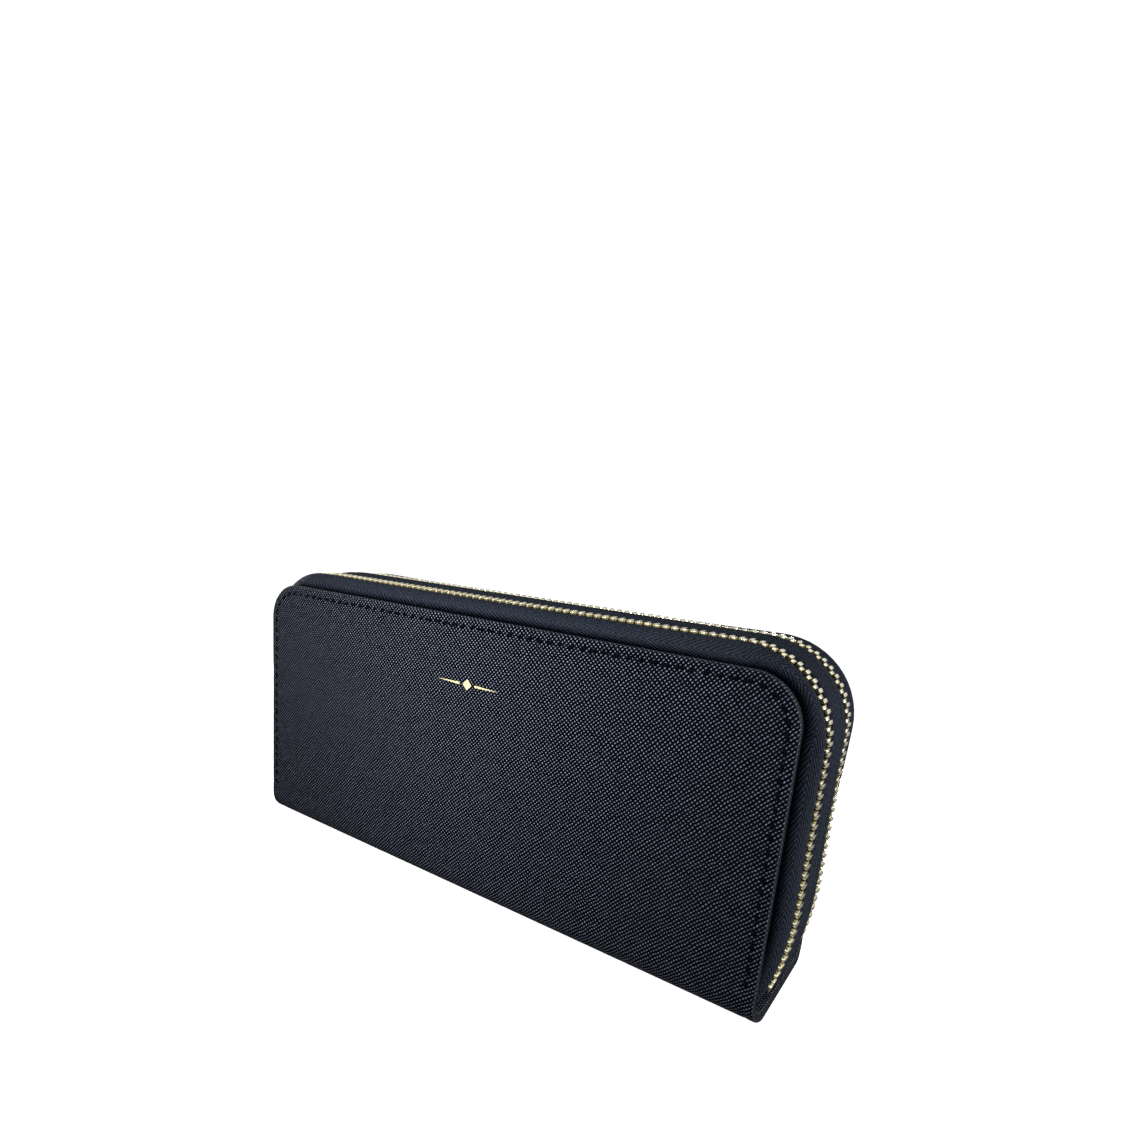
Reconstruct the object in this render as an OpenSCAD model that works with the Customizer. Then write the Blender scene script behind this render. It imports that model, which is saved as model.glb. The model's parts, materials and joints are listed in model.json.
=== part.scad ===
// Double zip-around long wallet, closed and standing on its spine.
// X runs along the width, -Y is the front, +Z is up.
// The origin is on the surface under the middle of the spine.

/* [Covers] */
// Width of the front and rear covers
cover_w = 195; // [190:1:205]
// Height of the covers' top edge above the surface under the spine
cover_h = 90; // [88:1:96]
// Radius of the covers' top corners
cover_corner_r = 13; // [10:1:16]
// Depth over both covers
body_d = 48; // [48:1:52]
// Radius of the fold that turns each cover into the spine
fold_r = 8; // [7:0.5:9]

/* [Layers] */
// Thickness of the outer leatherette
skin_t = 1.2; // [1:0.1:1.3]
// Thickness of the stiffener boards
board_t = 1; // [0.8:0.1:1.1]
// Thickness of the lining
lining_t = 0.5; // [0.4:0.1:0.6]
// Thickness of the pocket flaps and of the side pleats
flap_t = 0.5; // [0.4:0.1:0.6]
// How far a stitch or the foil ornament stands proud of the leatherette
trim_t = 0.2; // [0.1:0.1:0.3]

/* [Main zips] */
// How far the zip teeth stand out past the sides of the covers
zip_side_out = 4.1; // [3.8:0.1:4.5]
// How far the zip teeth stand out above the top of the covers
zip_top_out = 5.2; // [4.8:0.1:5.6]
// Radius of the zips' top corners
zip_corner_r = 23.5; // [20:0.5:26]
// Distance from the middle of the wallet to each zip
zip_y = 10; // [10:0.5:11]
// Height below which the zips curve in towards the spine
zip_bend_z = 30; // [28:1:34]
// Radius of that curve
zip_bend_r = 85; // [80:1:100]
// Distance from tooth to tooth along one row
tooth_pitch = 2.67; // [2.5:0.01:3]
// Height of the sliders' middle above the surface
slider_z = 24; // [23:1:26]

/* [Pockets] */
// Width of one column of card pockets
card_column_w = 87; // [86:0.5:88]
// Number of card pockets in a column
card_rows = 4; // [3:1:4]
// Height of the tallest card pocket's mouth
card_top_z = 74; // [70:1:76]
// Drop from one pocket mouth to the next
card_step = 11; // [9:1:12]
// Height of the coin zip
coin_zip_z = 75; // [73:1:76]
// Size of the coin zip compared with the main zips
coin_scale = 0.8; // [0.8:0.01:0.82]

/* [Hidden] */
$fn = 48;

// Colours
leatherette_c = [0.07, 0.075, 0.11];
tape_c = [0.06, 0.065, 0.10];
lining_c = [0.12, 0.12, 0.15];
board_c = [0.45, 0.42, 0.36];
gold_c = [0.80, 0.72, 0.50];
thread_c = [0.03, 0.03, 0.04];

// Layers of a cover, as distances from the middle of the wallet
cover_half = cover_w / 2;
skin_out_y = body_d / 2;
skin_in_y = skin_out_y - skin_t;
board_in_y = skin_in_y - board_t;
lining_in_y = board_in_y - lining_t;
board_inset = 1.5;
lining_inset = 2.5;

// Layers of the spine and of the divider
fold_y = skin_out_y - fold_r;
spine_board_top = skin_t + board_t;
spine_lining_top = spine_board_top + lining_t;
divider_board_half = 0.6;
divider_half = divider_board_half + lining_t;

// Zip: teeth and tape are measured inwards from the teeth's crest
zip_half = cover_half + zip_side_out;
zip_top = cover_h + zip_top_out;
tooth_t = 2.5;
tooth_len = 1.25;
tooth_root = 2.6;
tooth_tip = 0.15;
tape_out = 0.9;
tape_t = 0.6;
tape_in = tape_out + tape_t;
tape_edge = 1.6;
flange_w = 7.5;
tape_low_z = 5;
teeth_low_z = 7.5;
stop_len = 2;
slider_len = 11;
slider_room = 1;
stop_drop = 7.5;
teeth_slider_z = slider_z + slider_len / 2 + slider_room;
stop_slider_z = slider_z - slider_len / 2 - stop_drop;

// Slider and pull, seen with the teeth's crest at z = 0 and the nose towards +X
plate_gap = 0.4;
plate_t = 1;
inner_plate_t = 0.8;
nose_w = 8.6;
nose_cut = 1.2;
nose_cut_len = 2.5;
tail_w = 6.2;
tail_cut = 0.8;
tail_cut_len = 1.5;
bail_half = 3.5;
bail_w = 1.2;
bail_top = 4;
bail_bar_t = 0.8;
bail_hole_half = 2.5;
pin_r = 0.55;
pin_z = 2.3;
pull_arm_w = 1;
pull_gap = 0.4;
pull_start = 5;
pull_end = 22;
pull_w = 6;
pull_t = 1;
pull_hole_r = 1.2;
pull_eye_extra = 0.1;
link_r = 1.35;
link_wire_r = 0.35;
link_len = 5;
hanging_w = 4;
hanging_end = 17;

// Pockets and pleats
card_gap = 0.1;
pocket_low_z = 12;
column_gap = 3;
column_mid_x = (card_column_w + column_gap) / 2;
note_top_z = 68;
coin_half = 80;
coin_low_z = 10;
coin_panel_y = 6.4;
coin_wall_t = 0.6;
coin_teeth_mid_y = 6.15;
coin_crest_y = coin_teeth_mid_y + tooth_t * coin_scale / 2;
coin_zip_half = 66;
coin_tape_h = 6;
coin_tape_lap = 2;
coin_stop_gap = 3;
coin_tape_t = 0.5;
coin_top_z = 86;
pleat_out_x = 92.5;
pleat_in_x = 82;
pleat_near_y = 2.4;
pleat_far_y = 18.4;
pleat_top_z = 78;
pleat_folds = 4;

// Foil ornament: a lozenge and two bars
foil_z = 70;
lozenge_side = 2.4;
foil_bar_x = 7.5;
foil_bar_size = [9, 0.7];

// Stitching
stitch_inset = 2.8;
stitch_pitch = 3.5;
stitch_len = 2.5;
stitch_w = 0.6;

// ---- Outlines and edges ----

// Draws a flat shape, given in X and Z, as a slab between two Y values
module slab(y_low, y_high) {
    translate([0, y_high, 0]) rotate([90, 0, 0]) linear_extrude(y_high - y_low) children();
}

// A cover's outline, inset evenly from its edge, down to z0
module cover_outline(inset, z0) {
    w = cover_half - inset;
    top = cover_h - inset;
    r = cover_corner_r - inset;
    translate([-w, z0]) square([2 * w, top - r - z0]);
    translate([r - w, z0]) square([2 * (w - r), top - z0]);
    for (side = [-1, 1]) translate([side * (w - r), top - r]) circle(r);
}

// The zips' outline, inset evenly from the teeth's crest, down to z0
module zip_outline(inset, z0) {
    w = zip_half - inset;
    top = zip_top - inset;
    r = zip_corner_r - inset;
    translate([-w, zip_bend_z]) square([2 * w, top - r - zip_bend_z]);
    translate([r - w, zip_bend_z]) square([2 * (w - r), top - zip_bend_z]);
    for (side = [-1, 1]) translate([side * (w - r), top - r]) circle(r);
    for (side = [-1, 1]) intersection() {
        translate([side > 0 ? 0 : -w, z0]) square([w, zip_bend_z + 1 - z0]);
        translate([side * (zip_half - zip_bend_r), zip_bend_z]) circle(zip_bend_r - inset, $fn = 128);
    }
}

// A ring of the zips' outline between two insets, open at the bottom
module zip_ring(outer, inner, z0) {
    difference() {
        zip_outline(outer, z0);
        zip_outline(inner, z0 - 1);
    }
}

// Point and slope [x, z, angle] on the right half of a rounded edge, s from its top middle
function right_edge(s, w, top, r, bend_z) =
    let (flat = w - r, turn = r * PI / 2, side = top - r - bend_z)
    s < flat ? [s, top, 0] :
    s < flat + turn ?
        let (a = (s - flat) / r * 180 / PI) [flat + r * sin(a), top - r + r * cos(a), -a] :
    s < flat + turn + side ? [w, top - r - (s - flat - turn), -90] :
        let (a = (s - flat - turn - side) / zip_bend_r * 180 / PI)
        [w - zip_bend_r + zip_bend_r * cos(a), bend_z - zip_bend_r * sin(a), -90 - a];

// The same on either half, with s below zero on the left
function edge_point(s, w, top, r, bend_z) =
    let (p = right_edge(abs(s), w, top, r, bend_z)) s < 0 ? [-p[0], p[1], -p[2]] : p;

// Length of the edge from its top middle down to height z
function edge_length(z, w, top, r, bend_z) =
    let (corner = w - r + r * PI / 2)
    z > bend_z ? corner + top - r - z :
        corner + top - r - bend_z + zip_bend_r * asin((bend_z - z) / zip_bend_r) * PI / 180;

function zip_point(s) = edge_point(s, zip_half, zip_top, zip_corner_r, zip_bend_z);
function zip_length(z) = edge_length(z, zip_half, zip_top, zip_corner_r, zip_bend_z);

// ---- Zip parts, drawn for the front and mirrored for the rear ----

// One block of metal clamped on the zip's edge at distance s along it
module zip_block(s, y_low, y_high, length) {
    p = zip_point(s);
    translate([p[0], 0, p[1]]) rotate([0, -p[2], 0])
        translate([-length / 2, y_low, -tooth_t]) cube([length, y_high - y_low, tooth_t]);
}

// A row of teeth; shift is 0 or half a pitch, so that two rows alternate
module teeth_row(y_low, y_high, shift) {
    first = -floor(zip_length(teeth_slider_z) / tooth_pitch);
    last = floor(zip_length(teeth_low_z) / tooth_pitch) - 1;
    for (i = [first : last]) zip_block(i * tooth_pitch + shift, y_low, y_high, tooth_len);
}

// The two stops that end a row, one below the slider and one at the far end
module row_stops(y_low, y_high) {
    zip_block(-zip_length(stop_slider_z), y_low, y_high, stop_len);
    zip_block(zip_length(tape_low_z + stop_len / 2), y_low, y_high, stop_len);
}

// Tape on a cover: a band to the teeth and a sewn flange on the cover's lining
module outer_tape() {
    color(tape_c) union() {
        slab(-lining_in_y, -zip_y - tape_edge) zip_ring(tape_out, tape_in, tape_low_z);
        slab(-lining_in_y, -lining_in_y + tape_t)
            intersection() {
                zip_ring(tape_out, tape_in + flange_w, tape_low_z);
                translate([-zip_half, fold_r]) square([2 * zip_half, zip_top]);
            }
    }
}

// Tape on the divider: a band to the teeth and a sewn flange on the divider's lining
module inner_tape() {
    color(tape_c) union() {
        slab(-zip_y + tape_edge, -trim_t) zip_ring(tape_out, tape_in, tape_low_z);
        slab(-divider_half - tape_t, -divider_half)
            zip_ring(tape_out, tape_in + flange_w, tape_low_z);
    }
}

module outer_teeth() {
    color(gold_c) teeth_row(-zip_y - tooth_root, -zip_y - tooth_tip, 0);
}

module inner_teeth() {
    color(gold_c) teeth_row(-zip_y + tooth_tip, -zip_y + tooth_root, tooth_pitch / 2);
}

module outer_stops() {
    color(gold_c) row_stops(-zip_y - tooth_root, -zip_y - tooth_tip);
}

module inner_stops() {
    color(gold_c) row_stops(-zip_y + tooth_tip, -zip_y + tooth_root);
}

// ---- Covers ----

module cover_skin() {
    color(leatherette_c) slab(-skin_out_y, -skin_in_y) cover_outline(0, fold_r);
}

module cover_board() {
    color(board_c) slab(-skin_in_y, -board_in_y) cover_outline(board_inset, fold_r);
}

module cover_lining() {
    color(lining_c) slab(-board_in_y, -lining_in_y) cover_outline(lining_inset, fold_r);
}

// Two columns of stepped card pockets on a cover's lining, one solid for each flap
module cover_card_flaps() {
    color(leatherette_c)
    for (column = [-1, 1], row = [0 : card_rows - 1]) {
        y = -lining_in_y + card_gap + row * (flap_t + card_gap);
        height = card_top_z - row * card_step - pocket_low_z;
        translate([column * column_mid_x - card_column_w / 2, y, pocket_low_z])
            cube([card_column_w, flap_t, height]);
    }
}

// Running stitches along a cover's sides and top
module cover_stitching() {
    w = cover_half - stitch_inset;
    top = cover_h - stitch_inset;
    r = cover_corner_r - stitch_inset;
    count = floor(edge_length(fold_r + stitch_len, w, top, r, fold_r) / stitch_pitch);
    color(thread_c)
    for (i = [-count : count]) {
        p = edge_point(i * stitch_pitch, w, top, r, fold_r);
        translate([p[0], -skin_out_y - trim_t, p[1]]) rotate([0, -p[2], 0])
            translate([-stitch_len / 2, 0, -stitch_w / 2]) cube([stitch_len, trim_t, stitch_w]);
    }
}

// A plain foil lozenge between two short foil bars
module foil_ornament() {
    color(gold_c) slab(-skin_out_y - trim_t / 2, -skin_out_y) translate([0, foil_z]) {
        rotate(45) square(lozenge_side, center = true);
        for (side = [-1, 1]) translate([side * foil_bar_x, 0]) square(foil_bar_size, center = true);
    }
}

// ---- Spine ----

module spine_skin() {
    color(leatherette_c) translate([-cover_half, -fold_y, 0]) cube([cover_w, 2 * fold_y, skin_t]);
}

// Quarter-round fold of the leatherette between the spine and a cover
module spine_fold() {
    color(leatherette_c) translate([0, -fold_y, fold_r]) rotate([0, 90, 0])
    linear_extrude(cover_w, center = true) intersection() {
        difference() {
            circle(fold_r);
            circle(fold_r - skin_t);
        }
        translate([0, -fold_r]) square(fold_r);
    }
}

module spine_board() {
    w = cover_half - board_inset;
    color(board_c) translate([-w, -fold_y, skin_t]) cube([2 * w, 2 * fold_y, board_t]);
}

module spine_lining() {
    w = cover_half - lining_inset;
    color(lining_c) translate([-w, -fold_y, spine_board_top]) cube([2 * w, 2 * fold_y, lining_t]);
}

// ---- Divider ----

module divider_board() {
    color(board_c) slab(-divider_board_half, divider_board_half)
        zip_outline(tape_in, spine_lining_top);
}

module divider_lining() {
    color(lining_c) slab(-divider_half, -divider_board_half)
        zip_outline(tape_in, spine_lining_top);
}

// Full-width slip pocket on the divider's front
module note_pocket() {
    w = column_mid_x + card_column_w / 2;
    color(leatherette_c) translate([-w, -divider_half - card_gap - flap_t, pocket_low_z])
        cube([2 * w, flap_t, note_top_z - pocket_low_z]);
}

// Pleated gusset between the divider and a cover, drawn at the front right
module side_gusset() {
    points = [
        for (i = [0 : pleat_folds])
            [i % 2 == 0 ? pleat_out_x : pleat_in_x,
             -pleat_near_y - i * (pleat_far_y - pleat_near_y) / pleat_folds]
    ];
    back = [for (i = [pleat_folds : -1 : 0]) points[i] + [flap_t, 0]];
    color(lining_c) translate([0, 0, fold_r])
        linear_extrude(pleat_top_z - fold_r) polygon(concat(points, back));
}

// ---- Coin pocket, on the divider's rear ----

// Front of the pocket with its side and bottom walls, open at the top
module coin_pocket() {
    mouth_z = coin_zip_z - coin_tape_h;
    color(lining_c) {
        translate([-coin_half, coin_panel_y, coin_low_z])
            cube([2 * coin_half, coin_wall_t, mouth_z - coin_low_z]);
        translate([-coin_half, divider_half, coin_low_z])
            cube([2 * coin_half, coin_panel_y - divider_half, coin_wall_t]);
        for (x = [-coin_half, coin_half - coin_wall_t]) translate([x, divider_half, coin_low_z])
            cube([coin_wall_t, coin_panel_y - divider_half, coin_top_z - coin_low_z]);
    }
}

// Strip above the zip, with its top sewn to the divider
module coin_facing() {
    low_z = coin_zip_z + coin_tape_h;
    color(leatherette_c) {
        translate([-coin_half, coin_panel_y, low_z])
            cube([2 * coin_half, coin_wall_t, coin_top_z - low_z]);
        translate([coin_wall_t - coin_half, divider_half, coin_top_z - coin_wall_t])
            cube([2 * (coin_half - coin_wall_t), coin_panel_y - divider_half, coin_wall_t]);
    }
}

// A coin zip tape between two heights
module coin_tape(z_low, z_high) {
    color(tape_c) translate([-coin_half + coin_wall_t, coin_panel_y - coin_tape_t, z_low])
        cube([2 * (coin_half - coin_wall_t), coin_tape_t, z_high - z_low]);
}

// A coin zip row; side is 1 above the zip's middle and -1 below
module coin_teeth(side, shift) {
    pitch = tooth_pitch * coin_scale;
    count = floor((coin_zip_half - slider_len * coin_scale) / pitch);
    z_mid = coin_zip_z + side * coin_scale * (tooth_root + tooth_tip) / 2;
    color(gold_c) for (i = [-count : floor(coin_zip_half / pitch)])
        translate([i * pitch + shift, coin_teeth_mid_y, z_mid])
            cube([tooth_len, tooth_t, tooth_root - tooth_tip] * coin_scale, center = true);
}

module coin_stops() {
    color(gold_c) for (side = [-1, 1])
        translate([side * (coin_zip_half + coin_stop_gap), coin_teeth_mid_y, coin_zip_z])
            cube([stop_len, tooth_t, 2 * tooth_root] * coin_scale, center = true);
}

// ---- Slider and pulls ----

module plate_outline() {
    l = slider_len / 2;
    nose = nose_w / 2;
    tail = tail_w / 2;
    half = [[l, nose - nose_cut], [l - nose_cut_len, nose],
            [tail_cut_len - l, tail], [-l, tail - tail_cut]];
    polygon(concat(half, [for (i = [3 : -1 : 0]) [half[i][0], -half[i][1]]]));
}

// Outer plate with its bail, and the inner plate behind the teeth
module slider() {
    foot_z = plate_gap + plate_t;
    color(gold_c) {
        translate([0, 0, plate_gap]) linear_extrude(plate_t) plate_outline();
        translate([0, 0, -tooth_t - plate_gap - inner_plate_t])
            linear_extrude(inner_plate_t) plate_outline();
        rotate([90, 0, 0]) linear_extrude(bail_w, center = true) difference() {
            polygon([[-bail_half, foot_z], [bail_half, foot_z],
                     [bail_hole_half, bail_top], [-bail_hole_half, bail_top]]);
            translate([-bail_hole_half, foot_z - 0.01])
                square([2 * bail_hole_half, bail_top - bail_bar_t - foot_z + 0.01]);
        }
    }
}

// Flat pull with two arms and a cross pin that runs through the bail
module pull_tab() {
    arm_in = bail_w / 2 + pull_gap;
    color(gold_c) translate([0, 0, pin_z]) {
        rotate([90, 0, 0]) cylinder(r = pin_r, h = 2 * (arm_in + pull_arm_w), center = true);
        for (side = [-1, 1]) translate([0, side * (arm_in + pull_arm_w / 2), 0]) {
            translate([(pull_start + 1) / 2, 0, 0])
                cube([pull_start + 1, pull_arm_w, pull_t], center = true);
            rotate([90, 0, 0]) cylinder(r = pull_t / 2 + pull_eye_extra, h = pull_arm_w, center = true);
        }
        translate([0, 0, -pull_t / 2]) linear_extrude(pull_t) difference() {
            union() {
                translate([pull_start, -pull_w / 2])
                    square([pull_end - pull_start - pull_w / 2, pull_w]);
                translate([pull_end - pull_w / 2, 0]) circle(pull_w / 2);
            }
            translate([pull_end - pull_w / 2, 0]) circle(pull_hole_r);
        }
    }
}

// A wire link through the bail and a small tab hanging from it, towards -Y in the slider's frame
module hanging_pull() {
    bar_z = bail_top - bail_bar_t / 2;
    color(gold_c) translate([0, 0, bar_z]) rotate([0, 0, -90]) {
        for (side = [-1, 1]) translate([0, 0, side * link_r]) rotate([0, 90, 0])
            cylinder(r = link_wire_r, h = link_len);
        rotate([90, 0, 0]) rotate([0, 0, 90]) rotate_extrude(angle = 180)
            translate([link_r, 0]) circle(link_wire_r);
        translate([link_len, 0, 0]) rotate([90, 0, 0]) rotate([0, 0, -90]) rotate_extrude(angle = 180)
            translate([link_r, 0]) circle(link_wire_r);
        translate([0, 0, -pull_t / 2]) linear_extrude(pull_t) {
            translate([link_len + link_r - link_wire_r, -hanging_w / 2])
                square([hanging_end - link_len - link_r, hanging_w]);
            translate([hanging_end, 0]) circle(hanging_w / 2);
        }
    }
}

// Puts a slider or a pull on the front zip's left side, with its nose down
module at_front_zip() {
    translate([-zip_half, -zip_y, slider_z]) rotate([0, 90, 180]) children();
}

// Puts a slider or a pull at the left end of the coin zip, facing the rear
module at_coin_zip() {
    translate([-coin_zip_half + slider_len * coin_scale / 2, coin_crest_y, coin_zip_z])
        scale(coin_scale) rotate([-90, 0, 0]) rotate([0, 0, 180]) children();
}

module to_rear() {
    mirror([0, 1, 0]) children();
}

module to_left() {
    mirror([1, 0, 0]) children();
}

spine_skin();
spine_fold();  // front_spine_fold
to_rear() spine_fold();  // rear_spine_fold
spine_board();
spine_lining();
divider_board();
divider_lining();  // divider_front_lining
to_rear() divider_lining();  // divider_rear_lining
inner_tape();  // front_inner_tape
to_rear() inner_tape();  // rear_inner_tape
inner_teeth();  // front_inner_teeth
to_rear() inner_teeth();  // rear_inner_teeth
inner_stops();  // front_inner_stops
to_rear() inner_stops();  // rear_inner_stops
note_pocket();
coin_pocket();
coin_facing();
coin_tape(coin_zip_z + coin_scale, coin_zip_z + coin_tape_h + coin_tape_lap);  // coin_upper_tape
coin_tape(coin_zip_z - coin_tape_h - coin_tape_lap, coin_zip_z - coin_scale);  // coin_lower_tape
coin_teeth(1, 0);  // coin_upper_teeth
coin_teeth(-1, tooth_pitch * coin_scale / 2);  // coin_lower_teeth
coin_stops();
to_left() side_gusset();  // front_left_gusset
side_gusset();  // front_right_gusset
to_left() to_rear() side_gusset();  // rear_left_gusset
to_rear() side_gusset();  // rear_right_gusset
cover_skin();  // front_skin
cover_board();  // front_board
cover_lining();  // front_lining
cover_card_flaps();  // front_card_flaps
outer_tape();  // front_outer_tape
outer_teeth();  // front_outer_teeth
outer_stops();  // front_outer_stops
cover_stitching();  // front_stitching
foil_ornament();
to_rear() cover_skin();  // rear_skin
to_rear() cover_board();  // rear_board
to_rear() cover_lining();  // rear_lining
to_rear() cover_card_flaps();  // rear_card_flaps
to_rear() outer_tape();  // rear_outer_tape
to_rear() outer_teeth();  // rear_outer_teeth
to_rear() outer_stops();  // rear_outer_stops
to_rear() cover_stitching();  // rear_stitching
at_front_zip() slider();  // front_slider
at_front_zip() pull_tab();  // front_pull
to_rear() at_front_zip() slider();  // rear_slider
to_rear() at_front_zip() pull_tab();  // rear_pull
at_coin_zip() slider();  // coin_slider
at_coin_zip() hanging_pull();  // coin_pull
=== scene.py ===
"""Looks of the double zip-around wallet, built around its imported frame.

Lengths are in metres. X runs along the width, -Y is the front and +Z is up.
Pieces of the front half are built first; the rear half mirrors them across Y.
"""

import json
from math import acos, asin, copysign, cos, dist, floor, pi, radians, sin, sqrt

import bmesh
import bpy
import numpy as np
from mathutils import Matrix, Vector


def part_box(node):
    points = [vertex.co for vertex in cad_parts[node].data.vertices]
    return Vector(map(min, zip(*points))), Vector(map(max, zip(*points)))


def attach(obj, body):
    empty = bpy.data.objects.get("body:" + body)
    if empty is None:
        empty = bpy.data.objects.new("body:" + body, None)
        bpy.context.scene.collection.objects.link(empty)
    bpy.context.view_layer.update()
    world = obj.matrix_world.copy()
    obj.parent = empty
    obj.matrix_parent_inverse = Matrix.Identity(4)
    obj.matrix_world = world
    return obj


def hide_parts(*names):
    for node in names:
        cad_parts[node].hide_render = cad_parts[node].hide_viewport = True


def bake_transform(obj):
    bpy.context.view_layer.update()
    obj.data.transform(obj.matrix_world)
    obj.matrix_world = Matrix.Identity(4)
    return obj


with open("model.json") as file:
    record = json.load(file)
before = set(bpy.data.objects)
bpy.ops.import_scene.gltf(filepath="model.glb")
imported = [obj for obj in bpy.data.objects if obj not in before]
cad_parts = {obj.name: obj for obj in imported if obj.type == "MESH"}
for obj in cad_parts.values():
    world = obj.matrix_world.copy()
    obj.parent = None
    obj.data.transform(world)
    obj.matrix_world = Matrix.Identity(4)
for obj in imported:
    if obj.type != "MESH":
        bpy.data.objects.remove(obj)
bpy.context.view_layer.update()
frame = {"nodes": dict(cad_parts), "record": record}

MM = 0.001
QUARTER = pi / 2

# ---- Sizes, read from the frame where it holds them ----

skin_lo, skin_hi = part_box("front_skin")
teeth_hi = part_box("front_inner_teeth")[1]
slider_lo, slider_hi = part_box("front_slider")
HALF_W = skin_hi.x
TOP = skin_hi.z
DEPTH = -skin_lo.y
FOLD_R = skin_lo.z
FOLD_Y = DEPTH - FOLD_R
FOLD_L = FOLD_R * QUARTER
V_TOP = FOLD_Y + FOLD_L + TOP - FOLD_R
ZIP_HALF = teeth_hi.x
ZIP_TOP = teeth_hi.z
ZIP_Y = -(slider_lo.y + slider_hi.y) / 2
SLIDER_Z = (slider_lo.z + slider_hi.z) / 2

CORNER_R = 13 * MM
ZIP_CORNER_R = 23.5 * MM
BEND_Z = 30 * MM
BEND_R = 85 * MM
SHELL_T = 2.5 * MM
EDGE_R = 0.75 * MM
TOOTH_PITCH = 2.67 * MM
STITCH_INSET = 2.8 * MM
STITCH_PITCH = 3.5 * MM
COIN_SCALE = 0.8

# Each pair of points is where a piece would leave the spine and where it would be all on its cover,
# at the cover's fold for leather and a little above its low end for a zip's outer half; no bend uses
# them
FOLD_ENDS = ((0, -FOLD_Y, 0), (0, -DEPTH, FOLD_R))
ZIP_ENDS = ((0, -14 * MM, 3 * MM), (0, -20 * MM, 10 * MM))

# ---- Camera, light and floor ----

CAMERA_PLACE = (132.6 * MM, -178.1 * MM, 115.3 * MM)
CAMERA_AZIMUTH = 32.76
CAMERA_ELEVATION = 12.61
CAMERA_ROLL = 5.32
CAMERA_LENS = 22.03
CAMERA_SENSOR = 36
CAMERA_SHIFT_Y = 0.116
CAMERA_NEAR = 5 * MM
# Colour and strength of the room, its ceiling and what the camera sees behind the wallet
ROOM = ((0.95, 0.97, 1, 1), 0.13)
CEILING = ((1, 1, 1, 1), 1.45)
BACKDROP = ((1, 1, 1, 1), 1.05)
# The ceiling takes over as a direction's height, plus this much of its X, passes between two values
CEILING_LEAN = 0.6
CEILING_START = -0.3
CEILING_END = 0.9
OVERHEAD_STRENGTH = 0.25
OVERHEAD_ANGLE = 75
WALLET_MIDDLE = (0, 0, TOP / 2)
# Name, place, target, size, power in watts, and whether shiny surfaces mirror the light
AREA_LIGHTS = (
    ("key", (-0.01, -0.15, 0.118), (0, 0, 0.085), 0.13, 0.43, False),
    ("right", (0.4, 0.03, 0.12), WALLET_MIDDLE, 0.1, 0.95, True),
    ("left", (-0.4, 0.03, 0.12), WALLET_MIDDLE, 0.1, 1.5, True),
    ("back", (0.04, 0.22, 0.06), WALLET_MIDDLE, 0.1, 0.8, True),
)
FLOOR_HALF = 6
FLOOR_DROP = 0.05 * MM


def new_object(name, data):
    obj = bpy.data.objects.new(name, data)
    bpy.context.scene.collection.objects.link(obj)
    return obj


def make_camera():
    data = bpy.data.cameras.new("camera")
    data.sensor_width = CAMERA_SENSOR
    data.lens = CAMERA_LENS
    data.shift_y = CAMERA_SHIFT_Y
    data.clip_start = CAMERA_NEAR
    azimuth, elevation = radians(CAMERA_AZIMUTH), radians(CAMERA_ELEVATION)
    back = Vector((sin(azimuth) * cos(elevation),
                   -cos(azimuth) * cos(elevation), sin(elevation)))
    level = (-back).to_track_quat("-Z", "Y").to_matrix()
    roll = Matrix.Rotation(radians(CAMERA_ROLL), 3, "Z")
    camera = new_object("camera", data)
    camera.matrix_world = Matrix.Translation(CAMERA_PLACE) @ (level @ roll).to_4x4()
    bpy.context.scene.camera = camera


def add_area_light(name, place, target, size, power, mirrored):
    data = bpy.data.lights.new(name, "AREA")
    data.shape = "DISK"
    data.size = size
    data.energy = power
    light = new_object(name, data)
    light.location = place
    aim = Vector(target) - Vector(place)
    light.rotation_euler = aim.to_track_quat("-Z", "Y").to_euler()
    light.visible_camera = False
    light.visible_glossy = mirrored


def add_overhead_light():
    """Even light from above, which keeps the floor one white all over."""
    data = bpy.data.lights.new("overhead", "SUN")
    data.energy = OVERHEAD_STRENGTH
    data.angle = radians(OVERHEAD_ANGLE)
    new_object("overhead", data)


def make_lights():
    add_overhead_light()
    for light in AREA_LIGHTS:
        add_area_light(*light)
    bpy.context.scene.view_settings.view_transform = "Standard"


def make_floor(material):
    corners = [(x * FLOOR_HALF, y * FLOOR_HALF, 0) for x, y in ((-1, -1), (1, -1), (1, 1), (-1, 1))]
    mesh = bpy.data.meshes.new("floor")
    mesh.from_pydata(corners, [], [(0, 1, 2, 3)])
    mesh.materials.append(material)
    plane = new_object("floor", mesh)
    plane.location.z = -FLOOR_DROP
    # The floor takes the wallet's shadow but throws no light back at it
    plane.visible_diffuse = False
    plane.visible_glossy = False


class Nodes:
    """A node tree, with short calls for the nodes that the world and the materials share."""

    def __init__(self, tree):
        self.nodes = tree.nodes
        self.links = tree.links

    def new(self, kind, values=()):
        """A new node; values holds a number, a colour or another node's output for each input."""
        node = self.nodes.new("ShaderNode" + kind)
        pairs = values.items() if isinstance(values, dict) else enumerate(values)
        for key, value in pairs:
            if isinstance(value, bpy.types.NodeSocket):
                self.links.new(value, node.inputs[key])
            else:
                node.inputs[key].default_value = value
        return node

    def math(self, operation, *values):
        node = self.new("Math", values)
        node.operation = operation
        return node.outputs[0]

    def times(self, value, factor, plus=0.0):
        return self.math("MULTIPLY_ADD", value, factor, plus)


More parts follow.
